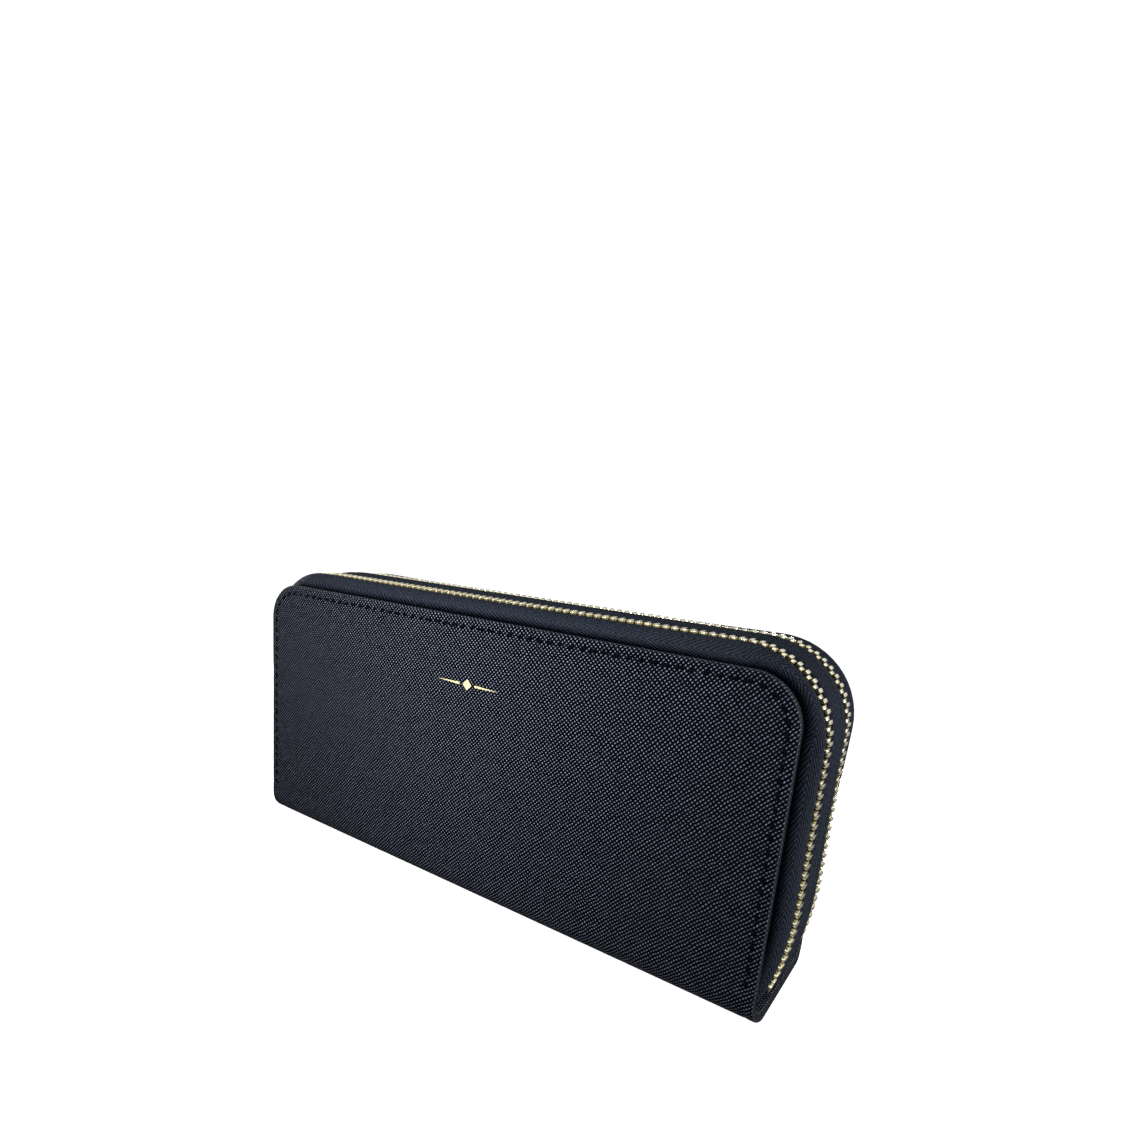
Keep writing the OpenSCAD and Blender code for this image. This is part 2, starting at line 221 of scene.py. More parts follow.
def make_world():
    """A dim room; the camera sees it as white, and shiny surfaces mirror its bright ceiling."""
    world = bpy.data.worlds.new("studio")
    world.use_nodes = True
    w = Nodes(world.node_tree)
    room, ceiling, backdrop = [w.new("Background", light).outputs[0]
                               for light in (ROOM, CEILING, BACKDROP)]
    towards = w.new("SeparateXYZ", [w.new("TexCoord").outputs["Generated"]]).outputs
    height = w.times(towards["X"], CEILING_LEAN, towards["Z"])
    rise = w.new("MapRange", {"Value": height, "From Min": CEILING_START, "From Max": CEILING_END})
    rays = w.new("LightPath").outputs
    share = w.times(rise.outputs["Result"], rays["Is Glossy Ray"])
    around = w.new("MixShader", (share, room, ceiling)).outputs[0]
    seen = w.new("MixShader", (rays["Is Camera Ray"], around, backdrop)).outputs[0]
    w.links.new(seen, w.nodes["World Output"].inputs["Surface"])
    bpy.context.scene.world = world


# ---- Materials ----


class Shader(Nodes):
    """A material's node tree around its Principled shader."""

    def __init__(self, name, color=(0.5, 0.5, 0.5), roughness=0.5, metallic=0.0):
        self.material = bpy.data.materials.new(name)
        self.material.use_nodes = True
        super().__init__(self.material.node_tree)
        self.bsdf = self.nodes["Principled BSDF"]
        self.set("Base Color", (*color, 1))
        self.set("Roughness", roughness)
        self.set("Metallic", metallic)
        self.material.diffuse_color = (*color, 1)

    def set(self, socket, value):
        self.bsdf.inputs[socket].default_value = value

    def link(self, output, socket):
        self.links.new(output, self.bsdf.inputs[socket])

    def uv(self):
        """The surface's own two lengths, in metres."""
        split = self.new("SeparateXYZ", [self.new("UVMap").outputs["UV"]]).outputs
        return split["X"], split["Y"]

    def noise(self, scale, detail=2.0):
        place = self.new("TexCoord").outputs["Object"]
        return self.new("TexNoise", {"Vector": place, "Scale": scale, "Detail": detail}).outputs["Fac"]

    def wave(self, value):
        """0 to 1 and back, once for each whole number that value passes."""
        turn = self.times(value, 2 * pi)
        return self.times(self.math("COSINE", turn), 0.5, 0.5)

    def ramp(self, value, low, high, start=0.0, end=1.0):
        """A value spread between two colours or two greys."""
        node = self.new("ValToRGB", [value])
        first, last = node.color_ramp.elements
        first.position, last.position = start, end
        for element, color in ((first, low), (last, high)):
            element.color = (*color, 1) if isinstance(color, tuple) else (color, color, color, 1)
        return node.outputs["Color"]

    def cover(self, under, color, share):
        """A colour laid over another by a share."""
        return self.new("MixRGB", (share, under, (*color, 1))).outputs["Color"]

    def bump(self, height, depth, strength=1.0, under=None):
        values = {"Height": height, "Distance": depth, "Strength": strength}
        if under is not None:
            values["Normal"] = under
        return self.new("Bump", values).outputs["Normal"]


# The shell's own attribute: 1 on the line along its edge that takes a painted highlight, -1 on the
# edge's face that takes painted shade
EDGE_LINE = "edge_line"
RISING_PITCH = 0.88 * MM
FALLING_PITCH = 0.98 * MM
# From the grain's valleys to its crests: the leather's dark navy, with painted shade in the valleys
# and painted highlights on the crests
LEATHER_VALLEY_AND_SHADE = (0.0004, 0.0007, 0.0022)
LEATHER_CREST_AND_GLINT = (0.262, 0.288, 0.374)
EDGE_HIGHLIGHT_COLOR = (0.070, 0.076, 0.098)
EDGE_SHADE_COLOR = (0.0012, 0.0014, 0.0024)


def saffiano_grain(s):
    """Height of two crossing sets of diagonal lines, the falling ones fainter at the sides."""
    u, v = s.uv()
    wander = s.times(s.noise(260), 0.9)
    rising = s.times(s.math("SUBTRACT", u, v), 1 / (RISING_PITCH * sqrt(2)))
    falling = s.times(s.math("ADD", u, v), 1 / (FALLING_PITCH * sqrt(2)))
    rising = s.wave(s.math("ADD", rising, wander))
    falling = s.wave(s.math("SUBTRACT", falling, wander))
    side = s.times(s.math("ABSOLUTE", u), 1 / HALF_W)
    clear = s.times(side, -0.7, 1.15)
    crossed = s.times(s.math("SUBTRACT", falling, 0.5), clear)
    crossed = s.math("ADD", crossed, s.times(side, 0.16, 0.5))
    dots = s.times(rising, crossed)
    lines = s.times(rising, 0.1, s.times(dots, 0.9))
    uneven = s.times(s.noise(1100), 0.6, 0.68)
    return s.times(lines, uneven)


def make_saffiano():
    """Leatherette pressed with a fine crosshatch whose crests take painted highlights and valleys
    painted shade, with a painted highlight and painted shade along the shell's edge.
    """
    s = Shader("saffiano", roughness=0.42)
    s.set("Specular IOR Level", 0.07)
    grain = saffiano_grain(s)
    # The grain's valleys take painted shade and its crests painted highlights, over the leather's own
    # dark navy
    leather = s.ramp(s.math("POWER", grain, 2.1), LEATHER_VALLEY_AND_SHADE, LEATHER_CREST_AND_GLINT, 0.2, 0.94)
    edge = s.new("Attribute")
    edge.attribute_name = EDGE_LINE
    # A painted highlight on the line along the shell's sides, and painted shade on their edge face
    leather = s.cover(leather, EDGE_HIGHLIGHT_COLOR, s.times(edge.outputs["Fac"], 0.8))
    leather = s.cover(leather, EDGE_SHADE_COLOR, s.times(edge.outputs["Fac"], -0.85))
    s.link(leather, "Base Color")
    s.link(s.ramp(grain, 0.62, 0.36, 0.1, 0.8), "Roughness")
    pressed = s.bump(grain, 0.14 * MM, 0.9)
    s.link(s.bump(s.noise(6000), 0.02 * MM, 0.35, pressed), "Normal")
    return s.material


def make_pocket_leather():
    """Smooth leatherette of the inner pockets, with a faint pebbled grain."""
    s = Shader("pocket_leather", roughness=0.5)
    pebbles = s.noise(1500, 3)
    s.link(s.ramp(pebbles, (0.008, 0.0085, 0.014), (0.016, 0.017, 0.026), 0.3, 0.7), "Base Color")
    s.link(s.ramp(s.noise(60), 0.44, 0.56), "Roughness")
    s.link(s.bump(pebbles, 0.06 * MM, 0.6), "Normal")
    return s.material


TWILL_PITCH = 1.6 * MM
TWILL_BAND = 3.0 * MM
TWILL_SLOPE = 1.7
PICK_PITCH = 0.7 * MM
PICK_SLOPE = 0.5
TAPE_LOW = (0.0006, 0.0010, 0.0020)
TAPE_HIGH = (0.052, 0.064, 0.090)
# Painted shade darkens the tape where its lengths across start, over the first part of this width:
# where it comes out from under the cover's edge, and beside the teeth on the inner tape
TAPE_SHADE_WIDTH = 1 / 300


def make_tape():
    """Zip tape: diagonal ribs that turn back on themselves in bands, crossed by finer picks."""
    s = Shader("zip_tape", roughness=0.8)
    s.set("Specular IOR Level", 0.01)
    u, v = s.uv()
    band = s.times(s.math("PINGPONG", v, TWILL_BAND), TWILL_SLOPE)
    wander = s.times(s.noise(450, 3), 1.1 * MM)
    along = s.math("ADD", s.math("ADD", u, band), wander)
    ribs = s.wave(s.times(along, 1 / TWILL_PITCH))
    across = s.math("ADD", s.math("SUBTRACT", u, s.times(band, PICK_SLOPE)), wander)
    picks = s.wave(s.times(across, 1 / PICK_PITCH))
    ribs = s.times(ribs, 0.5, 0.3)
    weave = s.times(ribs, s.times(picks, 0.45, 0.55))
    weave = s.times(weave, s.times(s.noise(1500, 3), 1.6, 0.35))
    # Painted shade along the edge where the tape's lengths across start
    shade = s.ramp(s.times(v, 1 / TAPE_SHADE_WIDTH), 0.2, 1.0, 0.1, 0.8)
    weave = s.times(weave, shade)
    s.link(s.ramp(weave, TAPE_LOW, TAPE_HIGH, 0.14, 1.0), "Base Color")
    ribbed = s.bump(weave, 0.28 * MM, 1.0)
    s.link(s.bump(s.noise(5000), 0.03 * MM, 0.5, ribbed), "Normal")
    return s.material


WEAVE_PITCH = 0.55 * MM


def make_lining():
    """Plain woven lining cloth."""
    s = Shader("lining_cloth", roughness=0.8)
    s.set("Sheen Weight", 0.1)
    s.set("Specular IOR Level", 0.2)
    u, v = s.uv()
    warp = s.wave(s.times(u, 1 / WEAVE_PITCH))
    weft = s.wave(s.times(v, 1 / WEAVE_PITCH, 0.5))
    weave = s.math("MAXIMUM", warp, weft)
    s.link(s.ramp(weave, (0.010, 0.011, 0.018), (0.024, 0.026, 0.040), 0.3, 1.0), "Base Color")
    s.link(s.bump(weave, 0.08 * MM, 0.7), "Normal")
    return s.material


def make_gold(name, color, roughness, metallic):
    """Pale gold, a little cloudy, with fine handling marks."""
    s = Shader(name, color, roughness, metallic)
    low = tuple(0.82 * c for c in color)
    s.link(s.ramp(s.noise(700, 3), low, color, 0.3, 0.6), "Base Color")
    s.link(s.ramp(s.noise(300), roughness * 0.8, roughness * 1.4), "Roughness")
    s.link(s.bump(s.noise(2500), 0.01 * MM, 0.35), "Normal")
    return s.material


PLY_PITCH = 0.5 * MM


def make_thread():
    """Waxed sewing thread: two plies twisted together."""
    s = Shader("thread", roughness=0.7)
    s.set("Specular IOR Level", 0.05)
    u, v = s.uv()
    plies = s.wave(s.times(s.math("ADD", u, v), 1 / PLY_PITCH))
    s.link(s.ramp(plies, (0.0008, 0.0008, 0.0014), (0.004, 0.004, 0.006)), "Base Color")
    s.link(s.bump(plies, 0.06 * MM, 0.7), "Normal")
    return s.material


def make_board():
    """Grey-brown fibre board."""
    s = Shader("fibre_board", roughness=0.9)
    fibres = s.noise(1800, 4)
    s.link(s.ramp(fibres, (0.13, 0.11, 0.08), (0.25, 0.21, 0.15), 0.3, 0.7), "Base Color")
    s.link(s.bump(fibres, 0.05 * MM, 0.5), "Normal")
    return s.material


def make_floor_material():
    """White floor with a little glow of its own, so that shadows on it stay pale."""
    s = Shader("floor", (0.92, 0.92, 0.92), 0.9)
    s.set("Specular IOR Level", 0.0)
    s.set("Emission Color", (1, 1, 1, 1))
    s.set("Emission Strength", 0.88)
    return s.material


SLOT_MATERIALS = {
    "leatherette": make_saffiano(),
    "pocket_leatherette": make_pocket_leather(),
    "lining": make_lining(),
    "zip_tape": make_tape(),
    "board": make_board(),
    "zip_metal": make_gold("pale_gold", (0.76, 0.71, 0.50), 0.17, 1.0),
    "thread": make_thread(),
    "foil": make_gold("gold_foil", (0.98, 0.84, 0.42), 0.5, 0.15),
}
NODE_SLOTS = {row["node"]: row["material_slot"] for row in frame["record"]["subparts"]}


def dress_cad_nodes():
    """Every CAD node takes the material of its slot, for the ones that stay in view."""
    for name, node in frame["nodes"].items():
        node.data.materials.clear()
        node.data.materials.append(SLOT_MATERIALS[NODE_SLOTS[name]])


# ---- Outlines ----

COVER_EDGE = (HALF_W, TOP, CORNER_R, FOLD_R)
ZIP_EDGE = (ZIP_HALF, ZIP_TOP, ZIP_CORNER_R, BEND_Z)


def inset(edge, distance):
    half, top, radius, bend_z = edge
    return (half - distance, top - distance, radius - distance, bend_z)


def edge_point(edge, s):
    """Point (x, z) and outward normal (nx, nz) on a rounded edge, s from its top middle.

    s > 0 runs to the right. Below the edge's bend_z its side curves inwards at BEND_R.
    """
    half, top, radius, bend_z = edge
    a = abs(s)
    flat, turn, side = half - radius, radius * QUARTER, top - radius - bend_z
    if a < flat:
        x, z, angle = a, top, 0
    elif a < flat + turn:
        angle = (a - flat) / radius
        x, z = flat + radius * sin(angle), top - radius + radius * cos(angle)
    elif a < flat + turn + side:
        angle = QUARTER
        x, z = half, top - radius - (a - flat - turn)
    else:
        bend = (a - flat - turn - side) / BEND_R
        angle = QUARTER + bend
        x, z = half - BEND_R * (1 - cos(bend)), bend_z - BEND_R * sin(bend)
    sign = 1 if s >= 0 else -1
    return sign * x, z, sign * sin(angle), cos(angle)


def edge_stretches(edge, low_z):
    """Lengths of an edge's four stretches: top, corner, side and bend, on one side."""
    half, top, radius, bend_z = edge
    bend = BEND_R * asin((bend_z - low_z) / BEND_R)
    return half - radius, radius * QUARTER, top - radius - bend_z, bend


def edge_length(edge, z):
    """Length of an edge from its top middle down to height z."""
    half, top, radius, bend_z = edge
    if z > bend_z:
        return half - radius + radius * QUARTER + top - radius - z
    return sum(edge_stretches(edge, z))


def station_point(edge, low_z, t):
    """Point on an edge at station t: -4 to 4, one whole number for each stretch."""
    stretches = edge_stretches(edge, low_z)
    a = abs(t)
    k = min(int(a), 3)
    s = sum(stretches[:k]) + (a - k) * stretches[k]
    return edge_point(edge, copysign(s, t))


def make_stations(flat=26, turn=14, side=16, bend=12):
    """Stations along an edge, finer round its corners."""
    half = []
    for k, count in enumerate((flat, turn, side, bend)):
        half += [k + i / count for i in range(count)]
    half.append(4.0)
    return [-t for t in reversed(half[1:])] + half


STATIONS = make_stations()

# ---- Mesh helpers ----


def add_mesh(name, points, faces, material, uvs, sharp):
    """A smooth-shaded object; uvs holds one pair for each point."""
    mesh = bpy.data.meshes.new(name)
    mesh.from_pydata([tuple(p) for p in points], [], [tuple(f) for f in faces])
    mesh.materials.append(material)
    layer = mesh.uv_layers.new(name="UVMap")
    corners = np.zeros(len(mesh.loops), np.int32)
    mesh.loops.foreach_get("vertex_index", corners)
    layer.data.foreach_set("uv", np.asarray(uvs, np.float32)[corners].ravel())
    mesh.polygons.foreach_set("use_smooth", np.ones(len(mesh.polygons), bool))
    if sharp is not None:
        mesh.set_sharp_from_angle(angle=radians(sharp))
    mesh.validate()
    return new_object(name, mesh)


def mirror_faces(faces):
    return [tuple(reversed(f)) for f in faces]


def tube_faces(rings, around, closed=False):
    """Quads between rings of points; a closed tube's last ring joins its first."""
    faces = []
    for i in range(rings if closed else rings - 1):
        here, after = i * around, (i + 1) % rings * around
        for k in range(around):
            turned = (k + 1) % around
            faces.append((here + k, here + turned, after + turned, after + k))
    return faces


def blend_to_cover(piece, side, ends):
    """Bakes a piece's transform into its points; the two points are mirrored for the rear side but not
    used.
    """
    if side == "rear":
        ends = [(x, -y, z) for x, y, z in ends]
    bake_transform(piece)


# Faces that meet at more than these degrees keep a sharp edge between them
SHEET_SHARP = 50
TOOTH_SHARP = 25
FITTING_SHARP = 35
PLEAT_SHARP = 60
FOIL_SHARP = 30


class Part:
    """Points, faces and lengths of a piece while it is being built."""

    def __init__(self):
        self.points, self.faces, self.uvs = [], [], []

    def add(self, points, faces, uvs):
        start = len(self.points)
        self.points += [tuple(p) for p in points]
        self.faces += [tuple(start + k for k in f) for f in faces]
        self.uvs += [tuple(uv) for uv in uvs]

    def make(self, name, slot, nodes, side="front", sharp=SHEET_SHARP, rides=None):
        """Makes the piece, in the material of its slot, in place of some CAD nodes.

        A piece of the rear side is built as the front's and mirrored.
        """
        points, faces = np.array(self.points, float), self.faces
        if side == "rear":
            points = points * (1, -1, 1)
            faces = mirror_faces(faces)
        piece = add_mesh(name, points, faces, SLOT_MATERIALS[slot], self.uvs, sharp)
        if rides:
            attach(piece, rides)
        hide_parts(*nodes)
        return piece


def sheet_part(grid, thickness):
    part = Part()
    add_sheet(part, grid, thickness)
    return part


def running_length(grid, axis):
    """Length along one direction of a grid of points, from its first row or column."""
    steps = np.linalg.norm(np.diff(grid, axis=axis), axis=2)
    total = np.cumsum(steps, axis=axis)
    pad = [(0, 0), (0, 0)]
    pad[axis] = (1, 0)
    return np.pad(total, pad)


def add_sheet(part, grid, thickness):
    """A closed sheet of even thickness under a grid of points, whose normals face outwards."""
    grid = np.asarray(grid, float)
    n, m = grid.shape[:2]
    normal = np.cross(np.gradient(grid, axis=0), np.gradient(grid, axis=1))
    normal /= np.maximum(np.linalg.norm(normal, axis=2, keepdims=True), 1e-12)
    back = grid - normal * thickness
    along = running_length(grid, 0)[:, m // 2]
    across = running_length(grid, 1)
    uvs = np.stack([np.repeat(along[:, None], m, 1), across], 2).reshape(-1, 2)
    front_id = np.arange(n * m).reshape(n, m)
    back_id = front_id + n * m
    faces = []
    for i in range(n - 1):
        for j in range(m - 1):
            quad = ((i, j), (i + 1, j), (i + 1, j + 1), (i, j + 1))
            faces.append([front_id[at] for at in quad])
            faces.append([back_id[quad[k]] for k in (0, 3, 2, 1)])
    rim = [(i, 0) for i in range(n)] + [(n - 1, j) for j in range(1, m)]
    rim += [(i, m - 1) for i in range(n - 2, -1, -1)] + [(0, j) for j in range(m - 2, 0, -1)]
    for k, here in enumerate(rim):
        after = rim[(k + 1) % len(rim)]
        faces.append((front_id[after], front_id[here], back_id[here], back_id[after]))
    points = np.concatenate([grid.reshape(-1, 3), back.reshape(-1, 3)])
    part.add(points, faces, np.concatenate([uvs, uvs]))


def solid_from(bm):
    """Points and faces of a bmesh, which is freed."""
    bm.verts.ensure_lookup_table()
    points = np.array([v.co[:] for v in bm.verts])
    faces = [tuple(v.index for v in f.verts) for f in bm.faces]
    bm.free()
    return points, faces


def face_outwards(bm):
    bmesh.ops.recalc_face_normals(bm, faces=bm.faces[:])


def bevel_edges(bm, edges, offset, segments, profile=0.5):
    bmesh.ops.bevel(bm, geom=edges, offset=offset, segments=segments, profile=profile,
                    affect="EDGES", clamp_overlap=True)


HOLE_POINTS = 24


def extrude_outline(outline, z_low, z_high, bevel, hole=None, segments=2):
    """A flat plate with bevelled edges, as a bmesh; hole is (x, y, radius)."""
    bm = bmesh.new()
    loops = [outline]
    if hole:
        x0, y0, radius = hole
        loops.append([(x0 + radius * cos(a), y0 + radius * sin(a))
                      for a in np.linspace(0, 2 * pi, HOLE_POINTS, endpoint=False)])
    edges = []
    for loop in loops:
        ring = [bm.verts.new((x, y, z_low)) for x, y in loop]
        edges += [bm.edges.new((ring[i], ring[(i + 1) % len(ring)])) for i in range(len(ring))]
    bmesh.ops.triangle_fill(bm, use_beauty=True, edges=edges)
    made = bmesh.ops.extrude_face_region(bm, geom=bm.faces[:])
    moved = [v for v in made["geom"] if isinstance(v, bmesh.types.BMVert)]
    bmesh.ops.translate(bm, verts=moved, vec=(0, 0, z_high - z_low))
    face_outwards(bm)
    corner = radians(50)
    bevel_edges(bm, [e for e in bm.edges if e.is_manifold and e.calc_face_angle() > corner],
                bevel, segments)
    face_outwards(bm)
    bm.verts.index_update()
    return bm


# ---- Leather shell: a cover, its fold and half the spine ----


def wrap(x, v, h):
    """Point on the leather: v runs from the spine's middle, round the fold and up the cover.

    h is the depth under the leather's outer face.
    """
    if v < FOLD_Y:
        return x, -v, h
    if v < FOLD_Y + FOLD_L:
        a = (v - FOLD_Y) / FOLD_R
        return x, -FOLD_Y - (FOLD_R - h) * sin(a), FOLD_R - (FOLD_R - h) * cos(a)
    return x, -DEPTH + h, FOLD_R + v - FOLD_Y - FOLD_L


# (inset, depth) across the cover's edge, in millimetres: flat leather, then the stitching groove
GROOVE = ((10, 0), (7.5, 0), (5.5, 0), (4.2, 0), (3.5, 0.01), (3.1, 0.09),
          (2.8, 0.15), (2.5, 0.09), (2.1, 0), (1.6, -0.02))
ROUNDING_STEPS = 5


def shell_profile():
    """Rows across the cover's edge: (inset, depth, inset for the grain)."""
    rows = [(CORNER_R, 0)] + [(d * MM, h * MM) for d, h in GROOVE]
    turns = [QUARTER * k / ROUNDING_STEPS for k in range(ROUNDING_STEPS + 1)]
    rows += [(EDGE_R * (1 - sin(a)), EDGE_R * (1 - cos(a))) for a in turns]
    turned = SHELL_T - 2 * EDGE_R
    rows += [(EDGE_R * (1 - cos(a)), turned + EDGE_R * (1 + sin(a))) for a in turns]
    rows += [(2.2 * MM, SHELL_T), (6 * MM, SHELL_T), (CORNER_R, SHELL_T)]
    out, grain = [], CORNER_R
    for k, (d, h) in enumerate(rows):
        if k:
            grain -= dist((d, h), rows[k - 1])
        out.append((d, h, grain))
    return out


def smooth_share(length, width):
    """0 to 1 as a length grows to a width, level at both ends."""
    share = min(1, max(0, length / width))
    return share * share * (3 - 2 * share)


BULGE = 0.7 * MM
BULGE_SIDE = 26 * MM
BULGE_TOP = 22 * MM
BULGE_LOW = 24 * MM


def cover_bulge(x, v):
    """How far the padded leather swells out of its plane."""
    side = smooth_share(HALF_W - abs(x), BULGE_SIDE)
    top = smooth_share(V_TOP - v, BULGE_TOP)
    low = smooth_share(v - FOLD_Y - FOLD_L * 0.5, BULGE_LOW)
    return BULGE * side * top * low


SPINE_FLARE = 1.4 * MM
SPINE_DRAW_IN = 0.9 * MM
FLARE_WIDTH = 14 * MM


def end_flare(v, h):
    """The leather's ends spread under the zip's ends: the outer face further than the inner."""
    share = smooth_share(FOLD_Y + FOLD_L - v, FLARE_WIDTH)
    return share * (SPINE_FLARE - (SPINE_FLARE + SPINE_DRAW_IN) * h / SHELL_T)


def shell_rows():
    spine = np.linspace(0, FOLD_Y, 7)[:-1]
    fold = np.linspace(FOLD_Y, FOLD_Y + FOLD_L, 17)[:-1]
    cover = np.linspace(FOLD_Y + FOLD_L, V_TOP - CORNER_R, 27)
    return np.concatenate([spine, fold, cover])


SHELL_COLUMNS = 72
CORNER_STEPS = 12


def shell_stations(rows, columns):
    """Stations round the shell's edge: a fixed centre and the direction that insets run in."""
    turns = np.linspace(0, QUARTER, CORNER_STEPS + 1)[1:-1]
    centre_x, centre_v = HALF_W - CORNER_R, V_TOP - CORNER_R
    right = [(centre_x, centre_v, sin(a), cos(a)) for a in turns]
    right += [(centre_x, v, 1, 0) for v in rows[::-1]]
    left = [(-centre_x, v, -1, 0) for v in rows]
    left += [(-centre_x, centre_v, -cos(a), sin(a)) for a in turns]
    return left + [(x, centre_v, 0, 1) for x in columns] + right


def edge_light_and_shade(d, h):
    """What EDGE_LINE holds at an inset and a depth, on the shell's sides: 1 for the painted highlight,
    -1 for the painted shade.
    """
    if d < 0.1 * EDGE_R:
        return -1.0
    return 1.0 if d < 0.3 * EDGE_R and h < 0.5 * EDGE_R else 0.0


class Shell(Part):
    """The leather over a cover and half the spine; points in one place are shared."""

    def __init__(self):
        super().__init__()
        self.index, self.edge_line = {}, []

    def corner(self, x, v, h, grain_x, grain_v, line=0.0):
        lift = cover_bulge(x, v) if h < SHELL_T / 2 else 0
        near_end = max(0, (abs(x) - HALF_W + CORNER_R) / CORNER_R) ** 2
        p = wrap(x + copysign(near_end * end_flare(v, h), x), v, h - lift)
        key = tuple(round(c * 1e7) for c in p)
        if key not in self.index:
            self.index[key] = len(self.points)
            self.points.append(p)
            self.uvs.append((grain_x, grain_v))
            self.edge_line.append(line)
        return self.index[key]

    def add_ring(self, stations, d, h, grain):
        reach, grain_reach = CORNER_R - d, CORNER_R - grain
        line = edge_light_and_shade(d, h)
        return [self.corner(x + dx * reach, v + dv * reach, h,
                            x + dx * grain_reach, v + dv * grain_reach, line * dx ** 2)
                for x, v, dx, dv in stations]

    def join_rings(self, here, after):
        for k in range(len(here) - 1):
            loop = [here[k], after[k], after[k + 1], here[k + 1]]
            loop = [p for i, p in enumerate(loop) if p != loop[i - 1]]
            if len(loop) > 2:
                self.faces.append(tuple(loop))

    def add_middle(self, rows, columns, h, flip):
        """Faces inside the rings at depth h; returns the points along the spine's middle."""
        grid = [[self.corner(x, v, h, x, v) for x in columns] for v in rows]
        for i in range(len(rows) - 1):
            for j in range(len(columns) - 1):
                quad = (grid[i][j], grid[i][j + 1], grid[i + 1][j + 1], grid[i + 1][j])
                self.faces.append(quad[::-1] if flip else quad)
        return grid[0]


def shell_part():
    rows = shell_rows()
    columns = np.linspace(CORNER_R - HALF_W, HALF_W - CORNER_R, SHELL_COLUMNS)
    stations = shell_stations(rows, columns)
    part = Shell()
    rings = [part.add_ring(stations, *row) for row in shell_profile()]
    for here, after in zip(rings, rings[1:]):
        part.join_rings(here, after)
    outer = part.add_middle(rows, columns, 0, False)
    inner = part.add_middle(rows, columns, SHELL_T, True)
    # The seam in the middle of the spine closes the shell
    left = [ring[0] for ring in rings]
    right = [ring[-1] for ring in rings]
    seam = left[::-1][:-1] + outer + right[1:] + inner[::-1][1:-1]
    part.faces.append(tuple(seam[::-1]))
    return part


def make_shell(side):
    part = shell_part()
    nodes = [f"{side}_skin", f"{side}_spine_fold"] + ([] if side == "rear" else ["spine_skin"])
    shell = part.make(f"{side}_leather_shell", "leatherette", nodes, side, sharp=None)
    bm = bmesh.new()
    bm.from_mesh(shell.data)
    face_outwards(bm)
    bm.to_mesh(shell.data)
    bm.free()
    line = shell.data.attributes.new(EDGE_LINE, "FLOAT", "POINT")
    line.data.foreach_set("value", part.edge_line)
    blend_to_cover(shell, side, FOLD_ENDS)


# ---- Stitching ----

STITCH_SIZE = (2.2 * MM, 1.05 * MM, 0.55 * MM)
STITCH_SLANT = radians(15)
STITCH_PROUD = 0.02 * MM
STITCH_LOW_Z = FOLD_R + 3 * MM


def capsule(length, width, height, sections=8, around=8):
    """A thread lying along X: a capsule of a given width in Y and height in Z."""
    points = []
    for i in range(sections + 1):
        a = pi * i / sections
        x, r = -cos(a), max(sin(a), 0.02) ** 0.6
        for k in range(around):
            b = 2 * pi * k / around
            points.append((x * length / 2, r * cos(b) * width / 2, r * sin(b) * height / 2))
    faces = tube_faces(sections + 1, around)
    faces.append(tuple(range(around)))
    faces.append(tuple(sections * around + k for k in reversed(range(around))))
    return np.array(points), faces


def along_edge(edge, s, y, base, towards=1.0):
    """Points of base at s along an edge: its X runs along the edge and its Z outwards.

    Its Y runs across the wallet, to the rear where towards is 1.
    """
    x, z, nx, nz = edge_point(edge, s)
    along, across, out = np.array([nz, 0, -nx]), np.array([0, towards, 0]), np.array([nx, 0, nz])
    return np.array([x, y, z]) + base[:, :1] * along + base[:, 1:2] * across + base[:, 2:3] * out


def make_stitching(side):
    """Stitches along a cover's sides and top, each a little slanted, sunk in the groove."""
    edge = inset(COVER_EDGE, STITCH_INSET)
    base, faces = capsule(*STITCH_SIZE)
    c, s = cos(STITCH_SLANT), sin(STITCH_SLANT)
    turned = base @ np.array([[c, s, 0], [-s, c, 0], [0, 0, 1]])
    # The stitch's width runs outwards over the cover, and its height to the front
    laid = turned[:, [0, 2, 1]]
    count = int(edge_length(edge, STITCH_LOW_Z) / STITCH_PITCH)
    part = Part()
    for i in range(-count, count + 1):
        placed = along_edge(edge, i * STITCH_PITCH, -DEPTH - STITCH_PROUD, laid, -1.0)
        part.add(placed, faces, base[:, :2])
    stitches = part.make(f"{side}_cover_stitches", "thread", [f"{side}_stitching"], side, sharp=None)
    blend_to_cover(stitches, side, FOLD_ENDS)


# ---- Zips ----

CREST_DEPTH = 0.9 * MM
TAPE_T = 0.5 * MM
TAPE_EDGE = 1.3 * MM
TAPE_HIDDEN = 3.0 * MM
TAPE_TUCK = 2.9 * MM
TAPE_SWELL = 0.51 * MM
TAPE_CORNER_SWELL = 2.55 * MM
ZIP_LOW_Z = 2.9 * MM
INNER_TAPE_RISE = 1.3 * MM
INNER_TAPE_DIP = 0.5 * MM
TAPE_CLEAR = 0.1 * MM
INNER_TAPE_CLEAR = 0.02 * MM


def corner_share(t):
    """1 in the middle of a corner, falling to 0 along the stretches beside it."""
    return max(0, 1 - ((abs(t) - 1.45) / 1.1) ** 2)


LOFT_EASE = 3.4


def loft(first, last, count, y_at, bulge_at):
    """Grid of points from one edge, at s = 0, to another at s = 1, which it nears early.

    y_at(s, z) is a point's depth at a height, and bulge_at(s, t) is how far it is pushed
    outwards at a station.
    """
    grid = []
    for t in STATIONS:
        x0, z0 = station_point(*first, t)[:2]
        x1, z1, nx, nz = station_point(*last, t)
        row = []
        for s in np.linspace(0, 1, count):
            share, bulge = 1 - (1 - s) ** LOFT_EASE, bulge_at(s, t)
            x, z = x0 + (x1 - x0) * share, z0 + (z1 - z0) * share
            row.append((x + nx * bulge, y_at(s, z), z + nz * bulge))
        grid.append(row)
    return grid


def shell_inner_y(z):
    """Where the shell's inner face is at height z, on the front."""
    if z >= FOLD_R:
        return SHELL_T - DEPTH
    inner = FOLD_R - SHELL_T
    return -FOLD_Y - sqrt(max(inner ** 2 - (FOLD_R - z) ** 2, 0))


